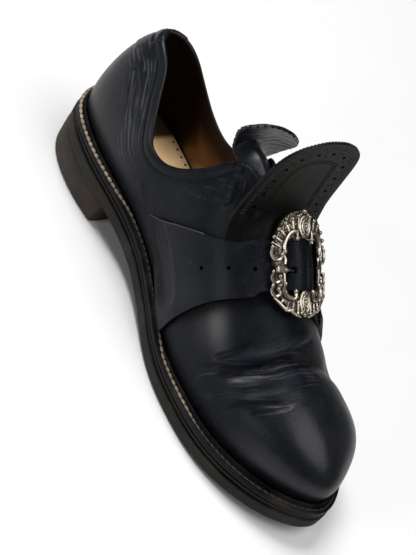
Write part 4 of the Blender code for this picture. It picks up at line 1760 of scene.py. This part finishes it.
@dataclass
class StandingSheet:
    """A sheet of leather that stands up from the instep, with its shaped free edge."""

    node: bpy.types.Object
    name: str
    edge_above: float
    smooth_levels: int = 3
    edge_hold: float = 0.55
    notch_deep: float = 6.0
    piece: bpy.types.Object = field(init=False)
    edge: np.ndarray = field(init=False)
    front: np.ndarray = field(init=False)

    def shape(self) -> None:
        """Copy and smooth the sheet, and find its free edge on the side towards the toe."""
        self.piece = copy_node(self.node, self.name)
        work = bmesh.new()
        work.from_mesh(self.piece.data)
        front = max(wall_regions(work), key=lambda wall: -sum(f.normal.y * f.calc_area() for f in wall))
        upright = [f for f in front if f.calc_center_median().z > self.edge_above * MM]
        self.front = unit(np.array(sum((f.normal * f.calc_area() for f in upright), Vector())))
        loop = max(border_loops(work, front), key=len)
        work.free()
        loop = np.roll(loop, -int(np.argmin(loop[:, 2])), axis=0)
        free = loop[loop[:, 2] > self.edge_above * MM]
        self.edge = curve_through(free, 600)
        half = len(self.edge) // 2
        inward = np.cross(self.front, runs_along(self.edge))[half]
        if inward @ (self.edge.mean(axis=0) - self.edge[half]) < 0:
            self.edge = self.edge[::-1]
        hold_edges(self.piece, self.edge_hold)
        refine(self.piece, self.smooth_levels)

    def line_in(self, inset: float, trim: float = 0.0) -> tuple[np.ndarray, np.ndarray]:
        """Find a line that runs inside the free edge.

        Args:
            inset: How far inside, in mm.
            trim: Length left off at either end, in mm.

        Returns:
            Points on the front of the sheet, and its normals there.
        """
        inward = np.cross(self.front, runs_along(self.edge))
        line = self.edge + unit(inward) * inset * MM
        gap, _ = gap_to(line, self.edge)
        line = line[gap > 0.97 * inset * MM]
        line = curve_through(line[:: max(len(line) // 40, 1)], 400)
        for _ in range(40):
            line[1:-1] = (line[:-2] + 2 * line[1:-1] + line[2:]) / 4
        steps = np.linspace(trim * MM, path_length(line) - trim * MM, 400)
        lengths = np.concatenate([[0.0], np.cumsum(np.linalg.norm(np.diff(line, axis=0), axis=1))])
        line = np.stack([np.interp(steps, lengths, line[:, k]) for k in range(3)], axis=1)
        return Surface(self.piece).seen_from(line, self.front)

    def pink(self, pitch: float, radius: float) -> None:
        """Cut small notches out of the free edge.

        Args:
            pitch: Distance between notches, in mm.
            radius: Radius of a notch, in mm.
        """
        count = int(path_length(self.edge) / (pitch * MM))
        spots = curve_through(self.edge, count)
        outward = -unit(np.cross(self.front, runs_along(spots)))
        ups = np.tile(self.front, (count, 1))
        sizes = (radius * MM, radius * MM, self.notch_deep * MM)
        middles = spots + outward * radius * 0.35 * MM
        cut_away(self.piece, Pattern.pin(6).lay("notches", middles, outward, ups, sizes))


@dataclass
class Flap(StandingSheet):
    """The punched flap."""

    pink_pitch: float = 2.1
    pink_radius: float = 0.62
    punch_in: float = 8.6
    punch_pitch: float = 9.4
    pair_apart: float = 3.3
    punch_deep: float = 1.2
    stitch_lines: tuple[float, ...] = (3.4, 4.9)
    stitch_pitch: float = 2.3
    stitch_half: Place = (0.95, 0.3, 0.28)
    groove_lines: tuple[float, ...] = (14.2, 15.8)
    groove_radius: float = 0.4
    stitch_trim: float = 3.0
    punch_trim: float = 4.0
    groove_trim: float = 8.0
    # Heights over which the painted shadow on the flap's lower part fades out, and its strength.
    dark_to: Range = (100.0, 124.0)
    dark: float = -1.3

    def build(self, finishes: Finishes) -> None:
        """Build and dress the flap with its holes, grooves and stitches.

        Args:
            finishes: The shoe's materials.
        """
        self.shape()
        rows = [self.line_in(inset, self.stitch_trim) for inset in self.stitch_lines]
        line, ups = self.line_in(self.punch_in, self.punch_trim)
        grooves = [self.line_in(inset, self.groove_trim) for inset in self.groove_lines]
        count = int(path_length(line) / (self.punch_pitch * MM))
        steps = np.linspace(0, len(line) - 1, 2 * count + 1).round().astype(int)
        across = unit(np.cross(runs_along(line), ups))
        large = steps[1::2]
        small = steps[0::2]
        pairs = [line[small] + side * across[small] * self.pair_apart / 2 * MM for side in (-1, 1)]
        cutters = [pins(line[large], ups[large], Punch.LARGE.value, self.punch_deep)]
        cutters += [pins(spots, ups[small], Punch.SMALL.value, self.punch_deep) for spots in pairs]
        cutters += [rod("groove", curve_through(path, 120), self.groove_radius * MM) for path, _ in grooves]
        cut_away(self.piece, join("flap_cutters", cutters))
        self.pink(self.pink_pitch, self.pink_radius)
        # Painted shadow: the flap grows darker towards its base.
        heights = to_shoe(points_of(self.piece))[:, 2]
        mark(self.piece, "painted_shading", self.dark * (1.0 - ease(heights, *self.dark_to)))
        fit(self.piece, "flap_leather", finishes.flap, nodes=["flap"])
        sewn = [self.sew(path, normals) for path, normals in rows]
        fit(join("flap_stitches", sewn), "flap_leather", finishes.seam_thread, round_all=True)

    def sew(self, path: np.ndarray, normals: np.ndarray) -> bpy.types.Object:
        """Sew one row of stitches.

        Args:
            path: Points of the row, in metres.
            normals: The flap's normals there.

        Returns:
            The stitches as one piece.
        """
        count = int(path_length(path) / (self.stitch_pitch * MM))
        spots = np.linspace(0, len(path) - 1, count).round().astype(int)
        runs = runs_along(path)[spots]
        sizes = np.array(self.stitch_half) * MM
        return Pattern.stitch().lay("flap_stitches", path[spots], runs, normals[spots], sizes)


@dataclass
class Tongue(StandingSheet):
    """The tongue with its scalloped top."""

    scallop_pitch: float = 4.4
    scallop_radius: float = 0.9
    ripple_high: float = 0.1
    free_from: Range = (96.0, 112.0)

    def build(self, finishes: Finishes) -> None:
        """Build and dress the tongue.

        Args:
            finishes: The shoe's materials.
        """
        self.shape()
        self.wrinkle()
        self.pink(self.scallop_pitch, self.scallop_radius)
        fit(self.piece, "tongue_leather", finishes.tongue, nodes=["tongue"])

    def wrinkle(self) -> None:
        """Lay the ripples across the tongue."""
        points = points_of(self.piece)
        across, _, high = to_shoe(points).T
        sway = np.sin(across / 5.2 + high / 9.0) + 0.6 * np.sin(across / 2.7 - high / 14.0)
        ripple = np.sin(high / 0.62 + 1.6 * sway) + 0.6 * np.sin(high / 0.41 - 1.2 * sway)
        points[:, 1] -= self.ripple_high * ripple * ease(high, *self.free_from) * MM
        move_points(self.piece, points)


@dataclass
class Strap:
    """The strap with its punched holes, laid down into the quarter at its root."""

    node: bpy.types.Object
    holes: tuple[Place, ...] = (
        (-37.3, 164.3, 71.3), (-30.7, 174.1, 83.4), (-21.3, 182.1, 91.6), (11.2, 189.5, 97.0),
    )
    root: tuple[Place, ...] = (
        (-29.6, 109.0, 46.6), (-33.1, 118.6, 46.8), (-35.1, 132.9, 44.6), (-38.6, 149.0, 40.5),
        (-40.2, 156.0, 37.5),
    )
    slit: tuple[Place, ...] = (
        (-32.3, 109.5, 47.0), (-33.1, 115.9, 52.6), (-33.7, 123.0, 59.0), (-34.3, 130.4, 66.1),
        (-34.4, 138.1, 73.2), (-34.0, 146.0, 79.7), (-32.3, 153.5, 85.5),
    )
    edge_hold: float = 0.6
    smooth_levels: int = 3
    punch_deep: float = 5.0
    raw_radius: float = 0.3
    raw_high: float = 0.2
    root_full: float = 2.0
    root_reach: float = 13.0
    root_high: float = 0.35
    root_low: float = -0.7
    top_above: float = 1.4
    wider: float = 1.6
    wider_rise: float = 0.2
    opening: tuple[Range, Range] = ((3.0, 7.0), (17.0, 22.0))
    upper_edge: Range = (179.5, 187.0)
    dulled: tuple[Range, Range] = ((-34.0, -27.0), (-8.0, -2.0))
    polish_all: float = 0.1
    polish_sheen: float = 0.16
    sheen: Place = (-40.0, 172.0, 56.0)
    sheen_reach: float = 12.0

    def build(self, finishes: Finishes, upper: Surface) -> None:
        """Build and dress the strap.

        Args:
            finishes: The shoe's materials.
            upper: The upper that it is sewn to.
        """
        piece = smooth_copy(self.node, "strap_leather", self.edge_hold, self.smooth_levels)
        self.lay_root(piece, upper)
        self.fill_opening(piece)
        places, ups = Surface(piece).nearest(to_scene(self.holes))
        cut_away(piece, pins(places, ups, Punch.STRAP.value, self.punch_deep))
        self.dull(piece)
        fit(piece, "strap_leather", finishes.strap, nodes=["strap"])
        # A pale rod along the strap's slit: the raw edge's own paler colour, which also stands in for the
        # edge's highlight.
        edge, ups = Surface(piece).nearest(to_scene(curve_through(self.slit, 60)))
        line = curve_through((edge + self.raw_high * MM * ups)[::6], 120)
        raw_edge_highlight = rod("strap_raw_edge_highlight", line, self.raw_radius * MM)
        fit(raw_edge_highlight, "strap_leather", finishes.raw_edge_highlight, round_all=True)

    def fill_opening(self, piece: bpy.types.Object) -> None:
        """Widen the strap at the buckle's opening, so that its edge meets the rim.

        Args:
            piece: The strap.
        """
        points = points_of(piece)
        across, along, _ = to_shoe(points).T
        share = band(across, *self.opening) * (1.0 - ease(along, *self.upper_edge))
        points += np.array([0.0, 1.0, self.wider_rise]) * self.wider * MM * share[:, None]
        move_points(piece, points)

    def dull(self, piece: bpy.types.Object) -> None:
        """Mark where the strap is polished: least between its second hole and the buckle.

        Args:
            piece: The strap.
        """
        spots = to_shoe(points_of(piece))
        dark = band(spots[:, 0], *self.dulled)
        low = bell(np.linalg.norm(spots - np.array(self.sheen), axis=1), self.sheen_reach)
        mark(piece, "polish", self.polish_all * (1.0 - dark) + self.polish_sheen * low)
        mark(piece, "painted_highlight", np.zeros(len(spots)))

    def lay_root(self, piece: bpy.types.Object, upper: Surface) -> None:
        """Sink the strap's root, so that it runs out of the quarter without a step.

        Args:
            piece: The strap.
            upper: The upper.
        """
        points = points_of(piece)
        line = to_scene(curve_through(self.root, 160))
        gap, _ = gap_to(points, line)
        share = 1.0 - ease(gap / MM, self.root_full, self.root_reach)
        near = np.flatnonzero(share > 0.0)
        feet, ups = upper.nearest(points[near])
        high = ((points[near] - feet) * ups).sum(axis=1) / MM
        flush = np.where(high > self.top_above, self.root_high, self.root_low)
        wanted = high + share[near] * (flush - high)
        points[near] = points[near] + ups * (wanted - high)[:, None] * MM
        move_points(piece, points)


@dataclass
class BuckleTab:
    """The short tab on the outer side that holds the buckle's bar."""

    node: bpy.types.Object
    edge_hold: float = 0.6
    smooth_levels: int = 3

    def build(self, finishes: Finishes) -> None:
        """Build and dress the tab."""
        piece = smooth_copy(self.node, "tab_leather", self.edge_hold, self.smooth_levels)
        fit(piece, "tab_leather", finishes.trim, nodes=["buckle_tab"])


@dataclass(frozen=True)
class Scroll:
    """A rod of the buckle's ornament, in the buckle's own across, towards-toe and height sizes."""

    places: tuple[Range, ...]
    radius: float
    high: float
    knobs: Range = (0.0, 0.0)


HEAD_SCROLL = ((-5.8, -18.4), (-9.5, -18.9), (-13.2, -16.2), (-15.2, -11.5), (-15.1, -7.6))
FOOT_SCROLL = ((-14.7, 10.0), (-15.8, 13.4), (-13.8, 17.0), (-9.8, 18.4), (-7.4, 17.0), (-7.4, 14.0))
HEAD_BRAID = ((-2.4, -26.6), (-7.0, -24.6), (-11.6, -22.0), (-15.8, -18.6), (-18.6, -14.8), (-19.8, -11.6))
FOOT_BORDER = ((-21.3, 17.6), (-18.1, 20.3), (-13.5, 24.2), (-10.6, 24.4), (-7.6, 26.3), (-2.8, 27.8))
UPPER_CURL = ((-22.3, -10.0), (-22.9, -6.2), (-20.6, -3.0), (-17.6, -3.4), (-16.4, -6.0))
MIDDLE_CURL = ((-21.6, 3.4), (-22.6, 6.8), (-20.8, 9.6), (-18.1, 8.6), (-17.6, 5.8))
LOWER_CURL = ((-22.0, 11.0), (-22.7, 14.3), (-20.5, 17.1), (-18.0, 15.7), (-18.7, 13.0))
SCROLLS = (
    Scroll(HEAD_SCROLL, 1.15, 2.3, (0.0, 1.5)),
    Scroll(((-6.0, -19.6), (-6.2, -17.4), (-6.2, -15.2)), 0.9, 2.2, (0.0, 1.4)),
    Scroll(UPPER_CURL, 1.0, 1.9, (1.25, 1.35)),
    Scroll(((-15.4, -5.6), (-14.2, -3.2), (-14.4, -0.8)), 0.8, 1.7),
    Scroll(MIDDLE_CURL, 1.0, 1.9, (1.2, 1.35)),
    Scroll(((-15.4, 1.0), (-15.0, 5.0), (-14.7, 9.6)), 0.8, 1.7),
    Scroll(LOWER_CURL, 0.95, 1.8, (1.1, 1.25)),
    Scroll(FOOT_SCROLL, 1.15, 2.3, (1.3, 1.5)),
    Scroll(FOOT_BORDER, 1.0, 1.3),
    Scroll(((-15.2, 18.6), (-17.4, 20.6)), 0.8, 1.5),
    Scroll(((-12.2, 19.8), (-13.2, 23.4)), 0.9, 1.6, (0.0, 1.2)),
    Scroll(((-8.8, 20.2), (-9.2, 24.4)), 0.8, 1.6, (0.0, 1.1)),
    Scroll(((-5.2, 20.0), (-5.4, 26.0)), 0.9, 1.7, (1.1, 1.2)),
    Scroll(((-4.9, -21.0), (-4.6, -27.6)), 0.85, 1.6, (0.0, 1.45)),
    Scroll(((-8.4, -20.2), (-9.2, -25.8)), 0.85, 1.5, (0.0, 1.4)),
    Scroll(((-11.6, -18.8), (-13.8, -23.2)), 0.85, 1.5, (0.0, 1.4)),
    Scroll(((-14.4, -16.2), (-18.0, -19.8)), 0.85, 1.5, (0.0, 1.35)),
    Scroll(((-16.4, -12.8), (-21.0, -15.6)), 0.85, 1.5, (0.0, 1.3)),
    Scroll(((-16.8, -9.6), (-21.8, -12.2)), 0.7, 1.3, (0.0, 1.0)),
    Scroll(HEAD_BRAID, 0.6, 1.0),
)


@dataclass(frozen=True)
class Rosette:
    """An oval flower of the buckle, in the buckle's own sizes."""

    middle: Range
    half: Range
    petals: int


@dataclass
class Buckle:
    """The silver buckle: pierced frame, ornament and prong."""

    frame: bpy.types.Object
    prong: bpy.types.Object
    centre: Place = (6.0, 188.5, 96.5)
    across: Place = (0.9842, 0.1269, -0.1234)
    toward_toe: Place = (-0.1735, 0.8292, -0.5313)
    away: Place = (0.0349, 0.5443, 0.8382)
    bow: float = 4.45 / 18.5**2
    inner_half: Range = (12.4, 16.4)
    inner_square: float = 6.0
    rim_high: float = 0.9
    rim_radius: float = 0.65
    narrowed: float = 0.87
    scroll_step: float = 0.7
    frame_hold: float = 0.5
    prong_hold: float = 0.6
    smooth_levels: int = 2
    prong_side: float = 2.4
    prong_end_across: float = -15.6
    prong_end_high: float = 3.5
    prong_end_half: Place = (3.6, 1.75, 0.85)
    prong_run: Range = (-19.0, -12.0)
    prong_run_high: float = 3.2
    opening_side: float = 0.7
    notch_across: float = 19.4
    notch_radius: float = 2.6
    notch_deep: float = 8.0
    rosettes: tuple[Rosette, ...] = (
        Rosette((0.0, -22.0), (3.7, 5.6), 10),
        Rosette((0.0, 19.8), (3.3, 5.9), 10),
    )
    finials: tuple[Place, ...] = (
        (0.0, -30.4, 1.7), (-2.6, -28.6, 1.2), (2.6, -28.6, 1.2), (0.0, 26.6, 1.4), (-2.3, 25.8, 1.0),
        (2.3, 25.8, 1.0),
    )
    finial_high: float = 1.6
    ovals: tuple[Place, ...] = ((1.0, 2.0, 0.8), (0.62, 2.5, 0.55))
    petal_beads: tuple[Place, ...] = ((0.8, 2.3, 0.6), (0.36, 2.9, 0.55))
    heart: Range = (3.0, 1.1)
    bead_flat: float = 0.85

    def place(self, rows: np.ndarray) -> np.ndarray:
        """Turn the buckle's own places into places in the scene.

        Args:
            rows: Across, towards the toe, and height above the frame's middle, in mm.

        Returns:
            Places in metres.
        """
        rows = np.asarray(rows, dtype=float)
        high = rows[:, 2] - self.bow * rows[:, 0] ** 2
        axes = np.array([self.across, self.toward_toe, self.away])
        return to_scene(np.array(self.centre) + np.stack([rows[:, 0], rows[:, 1], high], axis=1) @ axes)

    def up(self) -> np.ndarray:
        """Direction away from the foot, in the scene."""
        return np.array([self.away[0], -self.away[1], self.away[2]])

    def height(self, points: np.ndarray) -> np.ndarray:
        """Height of points above the frame's bowed middle, in mm.

        Args:
            points: Places in metres.

        Returns:
            The heights.
        """
        axes = np.array([self.across, self.toward_toe, self.away])
        local = (to_shoe(points) - np.array(self.centre)) @ axes.T
        return local[:, 2] + self.bow * local[:, 0] ** 2

    def build(self, finishes: Finishes) -> None:
        """Build and dress the buckle.

        Args:
            finishes: The shoe's materials.
        """
        plate = smooth_copy(self.frame, "buckle_plate", self.frame_hold, self.smooth_levels)
        sides = self.place(np.array([(side * self.notch_across, self.prong_side, 0.0) for side in (-1, 1)]))
        cut_away(plate, pins(sides, np.tile(self.up(), (2, 1)), self.notch_radius, self.notch_deep))
        self.dress(plate, "buckle_silver", finishes, 0.6, 3.4, ["buckle_frame"])
        self.dress(self.scroll_work(), "buckle_silver", finishes, 0.9, 2.6)
        self.dress(self.flowers(), "buckle_silver", finishes, 1.3, 3.0)
        prong = smooth_copy(self.prong, "buckle_prong_bar", self.prong_hold, self.smooth_levels)
        self.dress(prong, "prong_silver", finishes, -3.0, 1.5, ["buckle_prong"])
        self.dress(self.prong_end(), "prong_silver", finishes, 1.0, 3.0)

    def dress(
        self,
        piece: bpy.types.Object,
        slot: str,
        finishes: Finishes,
        dark: float,
        bright: float,
        nodes: Sequence[str] = (),
    ) -> None:
        """Tell the silver how far each point stands proud, and fit the piece.

        Args:
            piece: The piece.
            slot: The record's slot.
            finishes: The shoe's materials.
            dark: Height at which the silver is darkest, in mm.
            bright: Height at which it is brightest, in mm.
            nodes: Frame nodes that it stands for.
        """
        relief = (self.height(points_of(piece)) - dark) / (bright - dark)
        mark(piece, "relief", np.clip(relief, 0.0, 1.0))
        fit(piece, slot, finishes.silver, nodes=nodes)

    def scroll_work(self) -> bpy.types.Object:
        """Sweep the scrolls of both sides, with their knobs, and the rim of the opening.

        Returns:
            The joined piece.
        """
        parts = []
        knobs = []
        for side in (1, -1):
            for scroll in SCROLLS:
                flat = np.array([(side * a * self.narrowed, t, scroll.high) for a, t in scroll.places])
                path = curve_through(flat, max(int(path_length(flat) / self.scroll_step), 5))
                swell = scroll.radius * (0.75 + 0.25 * np.sin(np.linspace(0.0, math.pi, len(path))))
                parts.append(rod("scroll", self.place(path), swell * MM))
                for number, radius in zip((0, -1), scroll.knobs):
                    if radius:
                        knobs.append((*path[number], radius))
        rim = curve_through(self.rim(), 160, closed=True)
        parts.append(rod("rim", self.place(rim), self.rim_radius * MM, closed=True))
        parts.append(self.beads("knobs", np.array(knobs)))
        return join("buckle_scrolls", parts)

    def rim(self) -> np.ndarray:
        """Lay out the rim of the opening, a rounded rectangle.

        Returns:
            Across, towards the toe, and height, in mm.
        """
        turn = np.linspace(0.0, 2 * math.pi, 120, endpoint=False)
        power = 2.0 / self.inner_square
        across = np.sign(np.cos(turn)) * np.abs(np.cos(turn)) ** power
        toward = np.sign(np.sin(turn)) * np.abs(np.sin(turn)) ** power
        wide, long = self.inner_half
        high = np.full(len(turn), self.rim_high)
        return np.stack([wide * across, self.opening_side + long * toward, high], axis=1)

    def beads(self, name: str, rows: np.ndarray) -> bpy.types.Object:
        """Set round beads on the buckle.

        Args:
            name: Name of the piece.
            rows: Across, towards the toe, height and radius in mm.

        Returns:
            The beads as one piece.
        """
        ups = np.tile(self.up(), (len(rows), 1))
        runs = np.tile(np.array([1.0, 0.0, 0.0]), (len(rows), 1))
        sizes = np.stack([rows[:, 3], rows[:, 3], rows[:, 3] * self.bead_flat], axis=1) * MM
        return Pattern.bead().lay(name, self.place(rows[:, :3]), runs, ups, sizes)

    def flowers(self) -> bpy.types.Object:
        """Build the oval rosettes with their petals and the finials.

        Returns:
            The joined piece.
        """
        parts = []
        beads = [(a, t, self.finial_high, r) for a, t, r in self.finials]
        turn = np.linspace(0.0, 2 * math.pi, 48, endpoint=False)
        ring = np.stack([np.cos(turn), np.sin(turn), np.zeros(len(turn))], axis=1)
        for rosette in self.rosettes:
            middle = np.array([*rosette.middle, 0.0])
            half = np.array([*rosette.half, 0.0])
            for share, high, radius in self.ovals:
                path = middle + ring * half * share + UP * high
                parts.append(rod("oval", self.place(path), radius * MM, closed=True))
            for angle in np.linspace(0.0, 2 * math.pi, rosette.petals, endpoint=False):
                out = np.array([math.cos(angle), math.sin(angle)]) * half[:2]
                for share, high, radius in self.petal_beads:
                    beads.append((*(middle[:2] + out * share), high, radius))
            beads.append((*rosette.middle, *self.heart))
        parts.append(self.beads("petals", np.array(beads)))
        return join("buckle_rosettes", parts)

    def prong_end(self) -> bpy.types.Object:
        """Flatten the end of the prong into a small bar that lies over the frame.

        Returns:
            The bar.
        """
        piece = fresh(bpy.ops.mesh.primitive_cube_add, size=2.0)
        finish_with(piece, "BEVEL", width=0.35, segments=3)
        pattern = Pattern.taken_from(piece)
        middle = self.place(np.array([(self.prong_end_across, self.prong_side, self.prong_end_high)]))
        tip, root = self.place(np.array([(a, self.prong_side, self.prong_run_high) for a in self.prong_run]))
        sizes = np.array(self.prong_end_half) * MM
        return pattern.lay("buckle_prong_end", middle, (root - tip)[None, :], self.up()[None, :], sizes)


@dataclass
class Studio:
    """Floor, lights and camera."""

    aim: Place = (-27.53, -12.62, 60.0)
    distance: float = 785.11
    azimuth: float = -58.327
    elevation: float = 42.91
    roll: float = -38.095
    lens: float = 90.95
    sensor: float = 36.0
    floor_half: float = 3.0
    lights: tuple[tuple[Place, float, float], ...] = (
        ((-0.05, 0.62, 1.42), 0.7, 17.0),
        ((-1.5, 0.12, 0.46), 0.7, 6.5),
        ((0.15, -0.58, 1.4), 1.3, 12.0),
    )
    light_aim: Place = (0.0, 0.0, 0.05)
    surroundings: Range = (0.06, 0.95)

    def build(self) -> None:
        """Set up the floor, the lights, the pale surroundings and the camera."""
        self.lay_floor()
        for number, (place, size, power) in enumerate(self.lights):
            lamp = bpy.data.lights.new(f"soft_light_{number}", "AREA")
            lamp.shape = "DISK"
            lamp.size = size
            lamp.energy = power
            item = bpy.data.objects.new(lamp.name, lamp)
            item.location = place
            towards = Vector(self.light_aim) - Vector(place)
            item.rotation_euler = towards.to_track_quat("-Z", "Y").to_euler()
            bpy.context.scene.collection.objects.link(item)
        world = bpy.data.worlds.new("pale_surroundings")
        world.use_nodes = True
        back = world.node_tree.nodes["Background"]
        back.inputs["Color"].default_value = (1.0, 1.0, 1.0, 1.0)
        bench = NodeBench(world.node_tree)
        seen = bench.add("LightPath").outputs["Is Camera Ray"]
        bench.feed(back, {"Strength": bench.span(seen, 0.0, 1.0, self.surroundings)})
        bpy.context.scene.world = world
        bpy.context.scene.view_settings.view_transform = "Standard"
        self.set_camera()

    def lay_floor(self) -> None:
        """Lay the plain pale floor."""
        floor = fresh(bpy.ops.mesh.primitive_plane_add, size=2 * self.floor_half)
        floor.name = "floor"
        material, bench, shader = new_material("pale_floor")
        mottle = bench.span(bench.noise(bench.place(), 6.0, 2.0), 0.3, 0.7)
        colour = bench.blend(mottle, (0.9, 0.9, 0.9, 1.0), (0.92, 0.92, 0.92, 1.0))
        bench.feed(shader, {"Base Color": colour, "Roughness": 0.7})
        floor.data.materials.append(material)

    def set_camera(self) -> None:
        """Set the camera at the picture's angle, rolled as the picture is."""
        turn, rise, roll = (math.radians(angle) for angle in (self.azimuth, self.elevation, self.roll))
        back = Vector((math.sin(turn) * math.cos(rise), -math.cos(turn) * math.cos(rise), math.sin(rise)))
        level_up = (Vector((0.0, 0.0, 1.0)) - back * back.z).normalized()
        level_right = level_up.cross(back)
        up = level_up * math.cos(roll) + level_right * math.sin(roll)
        right = up.cross(back)
        data = bpy.data.cameras.new("camera")
        data.lens = self.lens
        data.sensor_width = self.sensor
        data.clip_start = 0.01
        camera = bpy.data.objects.new("camera", data)
        axes = Matrix((right, up, back)).transposed().to_4x4()
        camera.matrix_world = Matrix.Translation((Vector(self.aim) + back * self.distance) * MM) @ axes
        bpy.context.scene.collection.objects.link(camera)
        bpy.context.scene.camera = camera


def main() -> None:
    """Build the shoe around the frame."""
    logging.basicConfig(level=logging.INFO, format="%(name)s: %(message)s")
    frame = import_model()
    nodes = frame["nodes"]
    finishes = Finishes(SurfaceEffects())
    Studio().build()
    upper = Upper(nodes["upper"]).build(finishes)
    Sole(nodes).build(finishes)
    Insole(nodes["insole"]).build(finishes)
    Tongue(nodes["tongue"], "tongue_leather", 108.0).build(finishes)
    Flap(nodes["flap"], "flap_leather", 97.0).build(finishes)
    Strap(nodes["strap"]).build(finishes, upper)
    BuckleTab(nodes["buckle_tab"]).build(finishes)
    Buckle(nodes["buckle_frame"], nodes["buckle_prong"]).build(finishes)


if __name__ == "__main__":
    main()
